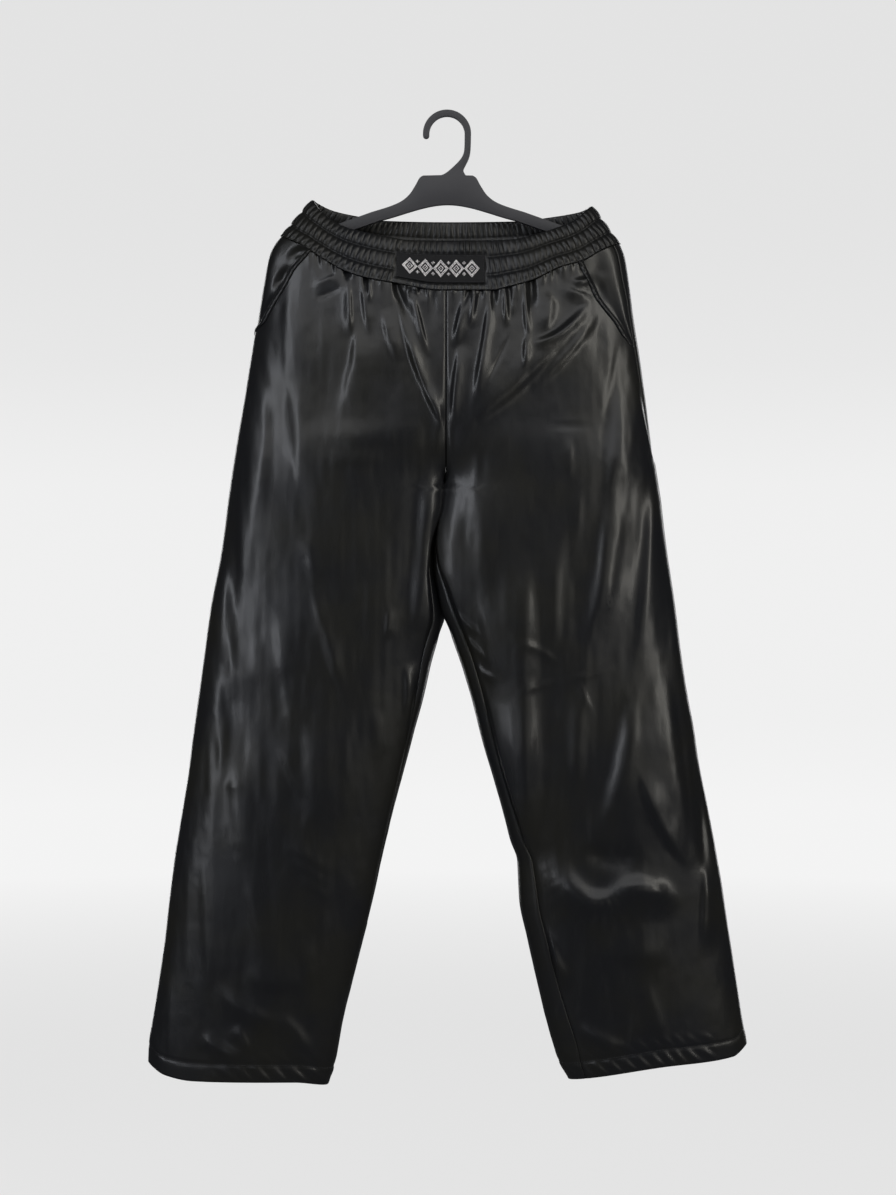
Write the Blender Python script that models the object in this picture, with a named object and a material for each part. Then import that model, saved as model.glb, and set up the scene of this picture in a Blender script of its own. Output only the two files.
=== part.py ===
# Wide-leg faux leather trousers with a gathered elastic waistband, hung on a moulded hanger.
# Frame: metres, +Z up, the front faces -Y. The origin is where a rail carries the hanger: the
# inner top of its hook. Right and left are the wearer's, so the right leg lies at -X.
# Tables are in millimetres, one row for each section, seam point or fold.

import math
from collections import namedtuple

import bmesh
import bpy
import numpy as np

MM = 0.001

# ---------------------------------------------------------------- driving sizes, millimetres
CLOTH = 1.5                # wall of the faux leather, with its knit backing
HEM_WALL = 2.7             # wall where the hem is turned up and doubled
HEM_HEIGHT = 20.0
SEAM_GAP = 0.3             # between two pieces that are sewn together
BAND_GAP = 0.45            # between the waistband and what hangs from it
BINDING_WIDTH = 7.0        # welt along each pocket mouth
BINDING_WALL = 1.2
FACING_DROP = 2.1          # the pocket facing lies this far under the front panel's outer side
FACING_UNDERLAP = 9.0
POCKET_BLEND = 22.0        # stretch over which the pocket mouth runs out into the side seam

BAND_WALL = 2.4            # elastic and its two layers of cloth, without the gathers
GATHERS = 116              # small pleats around the waistband
GATHER_HEIGHT = 1.7
CHANNEL_PUFF = 1.2         # how far each elastic channel swells between its stitch lines
STITCH_SINK = 0.7
BAND_TOP_CENTRE = 5.8      # middle of the band's upper edge, along X
BAND_TOP_HALF = 161.0
BAND_TOP_FRONT = 31.0      # depth of the upper edge, in front of and behind the hanger
BAND_TOP_BACK = 27.0
BAND_TOP_ROUND = 0.85

LABEL_LEFT = -57.0         # label patch on the band's middle channel
LABEL_RIGHT = 43.0
LABEL_LOW = 0.14           # its lower and upper edge as parts of the band's height
LABEL_HIGH = 0.71
LABEL_WALL = 1.2
LABEL_LIFT = 1.2

HOOK_RADIUS = 24.0         # to the middle of the hook's rod
HOOK_WIDTH = 7.4
HANGER_CENTRE = 1.0
HANGER_HALF_THICKNESS = 3.5
HANGER_TIP_RADIUS = 6.2
HANGER_REACH = 195.8       # from the hanger's middle to the end of each arm
HANGER_SLOPE = 0.355

FRONT_COLUMNS = 23
BACK_COLUMNS = 16
EDGE_EASE = 11.0           # folds fade out over this distance from a seam
SETTLE = 20                # passes in which a slanting row settles on its ring

RIGHT = -1
LEFT = 1
POCKET_GAPE = {RIGHT: 3.0, LEFT: 1.2}   # how far each facing sags away from its mouth

# ---------------------------------------------------------------- tables of the cut

Sides = namedtuple("Sides", "z right left")

# Outer edge of the hips and legs.
OUTER = (
    Sides(-125, -176.0, 177.0),
    Sides(-138, -190.0, 190.5),
    Sides(-148, -198.4, 198.8),
    Sides(-161, -204.7, 204.7),
    Sides(-189, -210.5, 209.3),
    Sides(-235, -218.5, 215.5),
    Sides(-304, -230.0, 225.4),
    Sides(-373, -241.5, 233.5),
    Sides(-442, -251.9, 241.5),
    Sides(-511, -261.1, 250.7),
    Sides(-580, -273.7, 262.2),
    Sides(-672, -286.4, 277.2),
    Sides(-764, -300.2, 294.4),
    Sides(-856, -314.0, 311.7),
    Sides(-948, -325.5, 326.6),
    Sides(-1040, -339.3, 340.4),
    Sides(-1068, -343.3, 345.0),
    Sides(-1120, -344.5, 346.0),
)

# Centre seam, and below the crotch the inner edge of each leg.
INNER = (
    Sides(-430, -1.0, -1.0),
    Sides(-450, -3.0, -3.0),
    Sides(-470, -8.0, -8.0),
    Sides(-500, -12.5, -12.5),
    Sides(-520, -12.5, -12.5),
    Sides(-544, -8.6, -8.6),
    Sides(-576, -4.0, -2.0),
    Sides(-600, -9.5, 5.0),
    Sides(-632, -18.5, 16.0),
    Sides(-665, -26.0, 26.0),
    Sides(-717, -40.0, 40.0),
    Sides(-764, -52.0, 54.0),
    Sides(-810, -64.0, 67.0),
    Sides(-833, -69.5, 72.5),
    Sides(-856, -75.0, 80.5),
    Sides(-880, -80.0, 81.7),
    Sides(-902, -85.0, 83.0),
    Sides(-948, -96.5, 93.0),
    Sides(-994, -108.0, 103.5),
    Sides(-1040, -119.5, 114.0),
    Sides(-1086, -128.0, 128.0),
    Sides(-1107, -134.0, 139.0),
    Sides(-1118, -138.0, 144.0),
)

# Depth in front and behind, how far the two legs still share one ring, and how blunt a ring's
# outer and inner ends are (1 is an ellipse, less is squarer).
Depth = namedtuple("Depth", "z front back shared outer_round inner_round")
DEPTHS = (
    Depth(-100, 33.0, 28.0, 1.00, 0.80, 0.80),
    Depth(-150, 36.0, 30.0, 1.00, 0.80, 0.80),
    Depth(-205, 38.0, 33.0, 1.00, 0.75, 0.75),
    Depth(-300, 42.0, 38.0, 1.00, 0.70, 0.70),
    Depth(-345, 42.0, 39.0, 0.80, 0.70, 0.68),
    Depth(-375, 42.0, 40.0, 0.47, 0.70, 0.60),
    Depth(-398, 41.6, 40.0, 0.20, 0.70, 0.54),
    Depth(-413, 41.2, 40.0, 0.07, 0.70, 0.50),
    Depth(-423, 41.0, 40.0, 0.02, 0.70, 0.48),
    Depth(-430, 40.8, 40.0, 0.00, 0.70, 0.46),
    Depth(-520, 38.5, 39.0, 0.00, 0.70, 0.50),
    Depth(-650, 36.0, 37.0, 0.00, 0.70, 0.62),
    Depth(-800, 34.0, 35.0, 0.00, 0.70, 0.70),
    Depth(-1000, 32.0, 33.0, 0.00, 0.70, 0.70),
    Depth(-1118, 30.0, 31.0, 0.00, 0.72, 0.72),
)

# How far each seam lies in from its edge: positive on the front, negative on the back.
Insets = namedtuple("Insets", "z right_inseam left_inseam right_side left_side")
INSETS = (
    Insets(-140, 0.0, 0.0, -4.0, 10.0),
    Insets(-184, 0.0, 0.0, -4.0, 9.0),
    Insets(-220, 0.0, 0.0, -4.0, 6.5),
    Insets(-300, 0.0, 0.0, -4.0, 5.0),
    Insets(-340, 0.0, 0.0, -4.0, 3.5),
    Insets(-380, 0.0, 0.0, -4.0, 1.0),
    Insets(-430, 0.0, 0.0, -4.0, -1.0),
    Insets(-480, 3.0, 1.5, -4.0, -2.0),
    Insets(-512, 5.0, 3.4, -4.0, -2.5),
    Insets(-540, 8.0, 8.0, -4.0, -2.5),
    Insets(-583, 11.0, 13.0, -4.0, -3.0),
    Insets(-610, 12.0, 15.0, -4.0, -3.0),
    Insets(-640, 10.0, 14.5, -4.0, -3.0),
    Insets(-690, 6.5, 13.5, -4.0, -3.0),
    Insets(-760, 3.4, 11.6, -4.0, -3.0),
    Insets(-836, 1.8, 14.5, -4.0, -3.0),
    Insets(-906, 0.4, 21.0, -4.0, -3.0),
    Insets(-987, -1.0, 22.0, -4.0, -3.0),
    Insets(-1064, -2.0, 27.0, -4.0, -3.0),
    Insets(-1110, -2.0, 20.0, -4.0, -3.0),
)

# Pocket mouths, from the waistband down to the side seam.
POCKETS = (
    Sides(-150, -154.0, 143.0),
    Sides(-159, -162.0, 149.0),
    Sides(-169, -171.0, 155.0),
    Sides(-180, -180.5, 160.0),
    Sides(-199, -191.0, 169.5),
    Sides(-211, -198.5, 175.0),
    Sides(-224, -206.0, 184.5),
    Sides(-242, -215.0, 199.0),
    Sides(-260, -222.0, 208.5),
    Sides(-274, -226.0, 215.0),
)

# Edges that run across the garment, as heights along X.
Edge = namedtuple("Edge", "x z")
BAND_TOP_EDGE = {
    "front": (
        Edge(-155, -96.6), Edge(-146, -109.0), Edge(-131, -122.5), Edge(-111, -132.5),
        Edge(-90, -138.0), Edge(-60, -144.0), Edge(-43, -147.0), Edge(0, -147.7),
        Edge(39, -147.5), Edge(74, -146.0), Edge(91, -142.5), Edge(108, -137.5),
        Edge(129, -130.0), Edge(148, -120.5), Edge(158, -111.0), Edge(167, -103.5),
    ),
    "back": (
        Edge(-155, -96.6), Edge(-132, -106.0), Edge(-104, -111.5), Edge(-74, -116.0),
        Edge(0, -117.2), Edge(87, -116.6), Edge(114, -113.5), Edge(154, -108.0),
        Edge(167, -103.5),
    ),
}
BAND_SEAM = {
    "front": (
        Edge(-190, -138.0), Edge(-182, -143.0), Edge(-165, -151.5), Edge(-152, -160.5),
        Edge(-133, -173.0), Edge(-117, -182.0), Edge(-92, -190.5), Edge(-60, -196.5),
        Edge(-8, -205.0), Edge(50, -205.0), Edge(73, -200.0), Edge(97, -193.0),
        Edge(128, -178.0), Edge(156, -169.0), Edge(175, -157.5), Edge(197, -147.2),
    ),
    "back": (
        Edge(-190, -138.0), Edge(-165, -148.0), Edge(-120, -162.0), Edge(-60, -172.0),
        Edge(0, -176.0), Edge(60, -174.0), Edge(120, -166.0), Edge(170, -155.0),
        Edge(197, -147.2),
    ),
}
HEM_EDGE = {
    RIGHT: (
        Edge(-345, -1086.0), Edge(-322, -1100.0), Edge(-290, -1105.5), Edge(-174, -1107.5),
        Edge(-138, -1113.0),
    ),
    LEFT: (
        Edge(139, -1107.0), Edge(175, -1101.0), Edge(242, -1089.5), Edge(327, -1079.0),
        Edge(345, -1066.0),
    ),
}

# Rows of each panel: parts of the way from the waistband to HIP_LEVEL, then level sections.
HIP_LEVEL = -300.0
HIP_STEPS = {
    RIGHT: (0.0, 0.08, 0.19, 0.32, 0.46, 0.61, 0.75, 1.0),
    LEFT: (0.0, 0.08, 0.19, 0.33, 0.49, 0.66, 0.82, 1.0),
}
POCKET_ROW = 6             # the row where a pocket mouth meets the side seam
LEVELS = (
    -345, -378, -400, -414, -423, -430, -450, -480, -510, -545,
    -580, -620, -670, -730, -795, -856, -905, -970, -1033,
)

# Folds as bent strokes on the front or back: start, bend, end, half width and height.
Fold = namedtuple("Fold", "x0 z0 x1 z1 x2 z2 half_width height")
FRONT_FOLDS = (
    # tucks and swells under the waistband
    Fold(-117, -178, -116, -196, -113, -212, 7, -5.0),
    Fold(-91, -186, -89, -204, -85, -226, 7, -5.5),
    Fold(-58, -192, -54, -216, -46, -246, 8, -6.0),
    Fold(-31, -198, -30, -216, -27, -236, 7, -3.5),
    Fold(17, -202, 16, -216, 13, -236, 7, -3.0),
    Fold(60, -201, 62, -222, 61, -252, 8, -6.0),
    Fold(96, -192, 93, -218, 94, -252, 8, -6.0),
    Fold(128, -176, 130, -196, 134, -214, 8, -3.0),
    Fold(-103, -184, -100, -206, -98, -240, 8, 3.0),
    Fold(-74, -190, -70, -216, -66, -250, 8, 3.0),
    Fold(38, -203, 36, -222, 32, -250, 9, 3.0),
    Fold(78, -197, 78, -220, 80, -262, 8, 3.0),
    # creases that run down to the crotch
    Fold(-90, -215, -90, -250, -86, -290, 9, 3.0),
    Fold(-52, -226, -28, -292, -8, -352, 11, 4.0),
    Fold(54, -214, 42, -262, 22, -330, 11, 4.0),
    Fold(166, -256, 84, -330, 16, -372, 18, -5.0),
    Fold(100, -256, 118, -236, 150, -228, 14, 4.0),
    # right leg
    Fold(-187, -202, -170, -330, -168, -440, 14, 4.0),
    Fold(-226, -342, -248, -500, -232, -690, 18, 4.0),
    Fold(-182, -566, -150, -700, -134, -872, 20, 5.0),
    Fold(-146, -566, -132, -630, -116, -690, 14, -4.0),
    Fold(-252, -742, -232, -820, -258, -930, 18, 3.5),
    Fold(-174, -1010, -162, -1030, -150, -1066, 14, 3.0),
    # left leg
    Fold(214, -341, 190, -440, 170, -570, 16, 5.0),
    Fold(108, -530, 100, -640, 84, -712, 22, 5.0),
    Fold(234, -412, 250, -520, 263, -612, 12, -4.0),
    Fold(212, -748, 246, -800, 272, -852, 20, 5.0),
    Fold(126, -842, 170, -925, 256, -884, 18, 6.0),
    Fold(222, -985, 228, -1020, 236, -1060, 16, 3.0),
)
BACK_FOLDS = (
    Fold(-130, -162, -126, -200, -118, -250, 11, -4.5),
    Fold(-70, -172, -66, -205, -62, -262, 11, -4.5),
    Fold(-25, -176, -24, -200, -20, -240, 10, -3.5),
    Fold(38, -176, 36, -206, 30, -258, 11, -4.5),
    Fold(92, -172, 92, -206, 84, -250, 11, -4.5),
    Fold(148, -162, 142, -200, 138, -240, 11, -4.0),
    Fold(-160, -250, -80, -330, -24, -378, 18, 5.0),
    Fold(158, -262, 84, -336, 22, -384, 18, 5.0),
    Fold(-205, -420, -190, -560, -170, -700, 20, 5.0),
    Fold(-118, -560, -128, -680, -160, -800, 18, -4.5),
    Fold(-230, -800, -215, -880, -240, -990, 20, 5.0),
    Fold(206, -400, 180, -540, 168, -660, 20, 5.0),
    Fold(96, -580, 120, -700, 170, -790, 18, -4.5),
    Fold(160, -900, 215, -860, 262, -900, 20, 5.0),
)

# ---------------------------------------------------------------- reading the tables


def flow(rows, key, column, at):
    """Smooth value of one column of a table, with no overshoot between its rows."""
    table = sorted(rows, key=lambda row: getattr(row, key))
    xs = np.array([getattr(row, key) for row in table], dtype=float)
    ys = np.array([getattr(row, column) for row in table], dtype=float)
    steps = np.diff(xs)
    slopes = np.diff(ys) / steps
    tangents = np.empty_like(ys)
    tangents[0] = slopes[0]
    tangents[-1] = slopes[-1]
    before = slopes[:-1]
    after = slopes[1:]
    total = before + after
    same_way = before * after > 0
    safe = np.where(same_way, total, 1.0)
    tangents[1:-1] = np.where(same_way, 2.0 * before * after / safe, 0.0)
    at = np.clip(np.asarray(at, dtype=float), xs[0], xs[-1])
    cell = np.clip(np.searchsorted(xs, at) - 1, 0, len(xs) - 2)
    width = steps[cell]
    t = (at - xs[cell]) / width
    low = (1 + 2 * t) * (1 - t) ** 2 * ys[cell] + t * (1 - t) ** 2 * width * tangents[cell]
    high = t * t * (3 - 2 * t) * ys[cell + 1] + t * t * (t - 1) * width * tangents[cell + 1]
    return low + high


def ease(value):
    value = np.clip(value, 0.0, 1.0)
    return value * value * (3.0 - 2.0 * value)


def side_name(side):
    return "right" if side == RIGHT else "left"


# ---------------------------------------------------------------- rings around hips and legs

# Angles around a ring: 0 at its outer end, pi / 2 in front, pi at its inner end, then behind.
# They crowd where the ring turns, and run on past both ends of one full turn.
RING_STEPS = 360
_turn = np.linspace(-0.5 * math.pi, 2.5 * math.pi, RING_STEPS + 1)
ANGLES = _turn - 0.485 * np.sin(2.0 * _turn)
START = RING_STEPS // 6    # index of angle 0


class Rings:
    """Rings of one leg at several heights. Above the crotch both legs share one ring."""

    def __init__(self, side, z):
        name = side_name(side)
        other = side_name(-side)
        self.side = side
        self.z = np.asarray(z, dtype=float)
        outer = flow(OUTER, "z", name, self.z)
        inner = flow(INNER, "z", name, self.z) + side * SEAM_GAP
        shared = flow(DEPTHS, "z", "shared", self.z)
        self.cut = inner.copy()
        inner = inner + shared * (flow(OUTER, "z", other, self.z) - inner)
        self.middle = 0.5 * (outer + inner)
        self.half = 0.5 * (outer - inner)
        front = flow(DEPTHS, "z", "front", self.z)
        back = flow(DEPTHS, "z", "back", self.z)
        outer_round = flow(DEPTHS, "z", "outer_round", self.z)
        inner_round = flow(DEPTHS, "z", "inner_round", self.z)
        cosine = np.cos(ANGLES)[None, :]
        sine = np.sin(ANGLES)[None, :]
        self.x = self.middle[:, None] + self.half[:, None] * cosine
        power = outer_round[:, None] + (inner_round - outer_round)[:, None] * (1 - cosine) / 2
        bulge = np.abs(sine) ** power
        self.y = np.where(sine > 0, -front[:, None] * bulge, back[:, None] * bulge)
        length = np.hypot(np.diff(self.x, axis=1), np.diff(self.y, axis=1))
        self.s = np.concatenate([np.zeros((len(self.z), 1)), np.cumsum(length, axis=1)], axis=1)
        self.s -= self.s[:, START:START + 1]

    def at_angle(self, angle):
        return np.array([np.interp(a, ANGLES, row) for a, row in zip(angle, self.s)])

    def at_inset(self, inset):
        """Distance around the ring of a seam that lies an inset in from the outer end."""
        angle = np.arccos(np.clip(1.0 - np.abs(inset / self.half), -1.0, 1.0))
        return self.at_angle(np.where(inset > 0, angle, -angle))

    def at_inseam(self, inset):
        angle = np.arccos(np.clip(1.0 - np.abs(inset / self.half), -1.0, 1.0))
        return self.at_angle(np.where(inset > 0, math.pi - angle, math.pi + angle))

    def at_front_x(self, x):
        return self.at_angle(np.arccos(np.clip((x - self.middle) / self.half, -1.0, 1.0)))

    def side_seam(self):
        return self.at_inset(flow(INSETS, "z", side_name(self.side) + "_side", self.z))

    def inner_edge(self, face):
        """Centre seam above the crotch, inseam below it."""
        to_centre = np.arccos(np.clip((self.cut - self.middle) / self.half, -1.0, 1.0))
        if face == "back":
            to_centre = 2.0 * math.pi - to_centre
        centre = self.at_angle(to_centre)
        inseam = self.at_inseam(flow(INSETS, "z", side_name(self.side) + "_inseam", self.z))
        shared = flow(DEPTHS, "z", "shared", self.z)
        return np.where(shared > 0.0, centre, inseam)

    def whole_turn(self):
        return self.at_angle(np.full(len(self.z), 2.0 * math.pi))

    def pocket_mouth(self, bottom):
        """The front panel's outer edge: the pocket mouth, and below it the side seam."""
        seam = self.side_seam()
        mouth = self.at_front_x(flow(POCKETS, "z", side_name(self.side), self.z))
        return seam + (mouth - seam) * ease((self.z - bottom) / POCKET_BLEND)

    def points(self, s):
        x = np.array([np.interp(v, grid, row) for v, grid, row in zip(s, self.s, self.x)])
        y = np.array([np.interp(v, grid, row) for v, grid, row in zip(s, self.s, self.y)])
        return np.stack([x, y, self.z], axis=-1)

    def normals(self, s):
        along = self.points(s + 0.6) - self.points(s - 0.6)
        normal = self.side * np.stack([-along[:, 1], along[:, 0], 0.0 * along[:, 0]], axis=-1)
        return normal / np.linalg.norm(normal, axis=-1, keepdims=True)


def pocket_bottom(side):
    """Height at which the panel's pocket row meets the side seam."""
    top = flow(BAND_SEAM["front"], "x", "z", side * 190.0)
    return float(top + HIP_STEPS[side][POCKET_ROW] * (HIP_LEVEL - top))


def edge_height(edges, x, y):
    """Height of an edge that runs all round, read from its front or back table."""
    return np.where(y < 0, flow(edges["front"], "x", "z", x), flow(edges["back"], "x", "z", x))


def row_height(side, row, x, y):
    """Height of a panel's row at points of the cloth."""
    top = edge_height(BAND_SEAM, x, y) - 0.5 * BAND_GAP
    hem = flow(HEM_EDGE[side], "x", "z", x)
    steps = HIP_STEPS[side]
    if row < len(steps):
        return top + steps[row] * (HIP_LEVEL - top)
    row -= len(steps)
    if row < len(LEVELS):
        return np.full(len(x), float(LEVELS[row]))
    return hem + (HEM_HEIGHT if row == len(LEVELS) else 0.0)


ROWS = len(HIP_STEPS[RIGHT]) + len(LEVELS) + 2


def fold_height(folds, x, z):
    """Sum of the folds at points of the cloth, each fading towards its two ends."""
    total = np.zeros_like(x)
    for fold in folds:
        t = np.linspace(0.0, 1.0, 13)
        cx = (1 - t) ** 2 * fold.x0 + 2 * t * (1 - t) * fold.x1 + t ** 2 * fold.x2
        cz = (1 - t) ** 2 * fold.z0 + 2 * t * (1 - t) * fold.z1 + t ** 2 * fold.z2
        gap = np.hypot(x[..., None] - cx, z[..., None] - cz)
        nearest = np.argmin(gap, axis=-1)
        distance = np.min(gap, axis=-1)
        fade = np.sqrt(np.sin(np.pi * (0.12 + 0.76 * t[nearest])))
        total += fold.height * fade * np.exp(-(distance / fold.half_width) ** 2)
    return total


# ---------------------------------------------------------------- panels


def panel_columns(face):
    """Parts of the way across a panel, closer together near its two edges."""
    count, crowding = (FRONT_COLUMNS, 0.2) if face == "front" else (BACK_COLUMNS, 0.45)
    even = np.linspace(0.0, 1.0, count + 1)
    return even - crowding * np.sin(2.0 * math.pi * even) / (2.0 * math.pi)


def panel_edges(rings, face):
    """Distances around the ring of a panel's outer and inner edge."""
    if face == "front":
        return rings.pocket_mouth(pocket_bottom(rings.side)), rings.inner_edge(face)
    return rings.side_seam() + rings.whole_turn(), rings.inner_edge(face)


def panel_grid(side, face):
    """Outer points, normals and distance to the nearer long edge of a panel, row by row."""
    points = []
    normals = []
    clear = []
    parts = panel_columns(face)
    for row in range(ROWS):
        z = row_height(side, row, np.full(len(parts), side * 120.0), np.zeros(len(parts)))
        for _ in range(SETTLE):
            rings = Rings(side, z)
            outer, inner = panel_edges(rings, face)
            way = np.sign(inner - outer)
            outer = outer + way * 0.5 * SEAM_GAP
            inner = inner - way * 0.5 * SEAM_GAP
            at = outer + parts * (inner - outer)
            if face == "front":
                at[1] = outer[1] + BINDING_WIDTH
            spot = rings.points(at)
            z = row_height(side, row, spot[:, 0], spot[:, 1])
        points.append(spot)
        normals.append(rings.normals(at))
        clear.append(np.minimum(np.abs(at - outer), np.abs(inner - at)))
    return np.array(points), np.array(normals), np.array(clear)


def shaped_panel(side, face):
    """Outer and inner points of a panel with its folds and its doubled hem."""
    points, normals, clear = panel_grid(side, face)
    folds = FRONT_FOLDS if face == "front" else BACK_FOLDS
    height = fold_height(folds, points[..., 0], points[..., 2])
    height *= ease(clear / EDGE_EASE)
    height[-2:] *= 0.35
    outer = points + normals * height[..., None]
    wall = np.full(points.shape[:2], CLOTH)
    wall[-2:] = HEM_WALL
    inner = outer - normals * wall[..., None]
    return outer, inner, normals


# ---------------------------------------------------------------- meshes


def new_material(name, color, roughness, metallic=0.0):
    material = bpy.data.materials.new(name)
    material.use_nodes = True
    shader = material.node_tree.nodes["Principled BSDF"]
    shader.inputs["Base Color"].default_value = (*color, 1.0)
    shader.inputs["Roughness"].default_value = roughness
    shader.inputs["Metallic"].default_value = metallic
    return material


def new_object(name, points, faces, material, crisp=50.0):
    """Object with its faces turned outwards. Points are in millimetres."""
    mesh = bpy.data.meshes.new(name)
    mesh.from_pydata([tuple(MM * value for value in point) for point in points], [], faces)
    build = bmesh.new()
    build.from_mesh(mesh)
    bmesh.ops.recalc_face_normals(build, faces=build.faces)
    build.to_mesh(mesh)
    build.free()
    mesh.materials.append(material)
    mesh.shade_smooth()
    mesh.set_sharp_from_angle(angle=math.radians(crisp))
    item = bpy.data.objects.new(name, mesh)
    bpy.context.scene.collection.objects.link(item)
    return item


def sheet_solid(name, outer, inner, material):
    """Closed wall between two grids of points of the same shape."""
    rows, columns = outer.shape[:2]
    points = [*outer.reshape(-1, 3), *inner.reshape(-1, 3)]
    shift = rows * columns
    faces = []
    for i in range(rows - 1):
        for j in range(columns - 1):
            a = i * columns + j
            b = a + 1
            c = a + columns + 1
            d = a + columns
            faces += [(a, b, c), (a, c, d)]
            faces += [(a + shift, c + shift, b + shift), (a + shift, d + shift, c + shift)]
    top = list(range(columns))
    far = [i * columns + columns - 1 for i in range(1, rows)]
    low = [(rows - 1) * columns + j for j in range(columns - 2, -1, -1)]
    near = [i * columns for i in range(rows - 2, 0, -1)]
    edge = top + far + low + near
    for a, b in zip(edge, edge[1:] + edge[:1]):
        faces += [(a, b, b + shift), (a, b + shift, a + shift)]
    return new_object(name, points, faces, material)


# ---------------------------------------------------------------- waistband


def band_seam_points(angles):
    """The waistband's lower edge at angles around the hip ring."""
    z = np.full(len(angles), -170.0)
    for _ in range(SETTLE):
        rings = Rings(LEFT, z)
        at = rings.at_angle(angles)
        spot = rings.points(at)
        z = edge_height(BAND_SEAM, spot[:, 0], -np.sin(angles)) + 0.5 * BAND_GAP
    spot[:, 2] = z
    return spot, rings.normals(at)


def band_top_points(angles):
    sine = np.sin(angles)
    x = BAND_TOP_CENTRE + BAND_TOP_HALF * np.cos(angles)
    bulge = np.abs(sine) ** BAND_TOP_ROUND
    y = np.where(sine > 0, -BAND_TOP_FRONT * bulge, BAND_TOP_BACK * bulge)
    return np.stack([x, y, edge_height(BAND_TOP_EDGE, x, -sine)], axis=-1)


def along_curve(points, values, parts):
    """Values at even parts of a curve's length."""
    length = np.linalg.norm(np.diff(points, axis=0), axis=1)
    way = np.concatenate([[0.0], np.cumsum(length)])
    return np.stack([np.interp(parts * way[-1], way, column) for column in values.T], axis=-1)


def half_band(face, parts):
    """Lower edge, upper edge and outward direction along the front or back half of the band."""
    start = 0.0 if face == "front" else math.pi
    angles = np.linspace(start, start + math.pi, 721)
    low, normal = band_seam_points(angles)
    high = band_top_points(angles)
    normal = along_curve(low, normal, parts)
    return along_curve(low, low, parts), along_curve(high, high, parts), normal


# Rows of the band from its seam to its upper edge: part of the height, swell, gather height.
BandRow = namedtuple("BandRow", "part swell gather")
BAND_ROWS = (
    BandRow(0.00, 0.0, 0.5),
    BandRow(0.14, CHANNEL_PUFF, GATHER_HEIGHT),
    BandRow(0.29, -STITCH_SINK, 0.7),
    BandRow(0.48, CHANNEL_PUFF, GATHER_HEIGHT),
    BandRow(0.68, -STITCH_SINK, 0.7),
    BandRow(0.84, CHANNEL_PUFF, GATHER_HEIGHT),
    BandRow(1.00, 0.2, 0.9),
)


def under_label(x, part):
    """1 where the label patch holds the gathers flat, 0 away from it."""
    across = ease((x - LABEL_LEFT + 6.0) / 6.0) * ease((LABEL_RIGHT + 6.0 - x) / 6.0)
    return across if LABEL_LOW - 0.02 < part < LABEL_HIGH + 0.02 else 0.0 * across


def make_waistband(material):
    """Gathered band: fine ridges outside, a plain inner wall with half as many columns."""
    even = np.linspace(0.0, 1.0, GATHERS, endpoint=False)
    front = half_band("front", even)
    back = half_band("back", even)
    low, high, normal = (np.concatenate(pair) for pair in zip(front, back))
    columns = len(low)
    count = np.arange(columns)
    ridge = count % 2 * (0.8 + 0.2 * np.sin(2.3 * count))
    in_front = count < GATHERS
    outer = []
    for row in BAND_ROWS:
        base = low + row.part * (high - low)
        flat = np.where(in_front, under_label(base[:, 0], row.part), 0.0)
        lift = (row.swell + row.gather * ridge) * (1.0 - flat) + 0.2 * flat
        outer.append(base + normal * lift[:, None])
    inner = []
    for part in (0.0, 0.5, 1.0):
        base = low[::2] + part * (high[::2] - low[::2])
        inner.append(base - normal[::2] * BAND_WALL)
    points = [point for row in outer + inner for point in row]
    shift = len(outer) * columns
    few = columns // 2
    faces = []
    for i in range(len(outer) - 1):
        for j in range(columns):
            a = i * columns + j
            b = i * columns + (j + 1) % columns
            faces += [(a, b, b + columns), (a, b + columns, a + columns)]
    for i in range(len(inner) - 1):
        for j in range(few):
            a = shift + i * few + j
            b = shift + i * few + (j + 1) % few
            faces += [(a, b + few, b), (a, a + few, b + few)]
    rims = ((0, shift), ((len(outer) - 1) * columns, shift + (len(inner) - 1) * few))
    for fine_start, coarse_start in rims:
        for j in range(few):
            a, b, c = (fine_start + (2 * j + step) % columns for step in range(3))
            near = coarse_start + j
            far = coarse_start + (j + 1) % few
            faces += [(a, b, near), (b, c, far), (b, far, near)]
    return new_object("waistband", points, faces, material, 28.0)


def make_label(material):
    """Flat patch sewn over the band's middle channel, following the band's curve."""
    low, high, normal = half_band("front", np.linspace(0.0, 1.0, 721))
    across = np.linspace(LABEL_LEFT, LABEL_RIGHT, 13)
    outer = []
    inner = []
    for part in np.linspace(LABEL_LOW, LABEL_HIGH, 4):
        base = low + part * (high - low)
        line = np.concatenate([base, normal], axis=1)[::-1]
        row = np.stack([np.interp(across, line[:, 0], column) for column in line.T], axis=-1)
        inner.append(row[:, :3] + row[:, 3:] * LABEL_LIFT)
        outer.append(row[:, :3] + row[:, 3:] * (LABEL_LIFT + LABEL_WALL))
    return sheet_solid("label_patch", np.array(outer), np.array(inner), material)


# ---------------------------------------------------------------- pockets


def make_binding(side, panel_outer, normals, material):
    """Welt along the pocket mouth, made from the panel's own points moved out."""
    rows = POCKET_ROW + 1
    strip = panel_outer[:rows, :2]
    away = normals[:rows, :2]
    inner = strip + away * SEAM_GAP
    outer = strip + away * (SEAM_GAP + BINDING_WALL)
    return sheet_solid("pocket_binding_" + side_name(side), outer, inner, material)


FACING_COLUMNS = np.array([0.0, 0.1, 0.2, 0.31, 0.44, 0.58, 0.78, 1.0])


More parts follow.
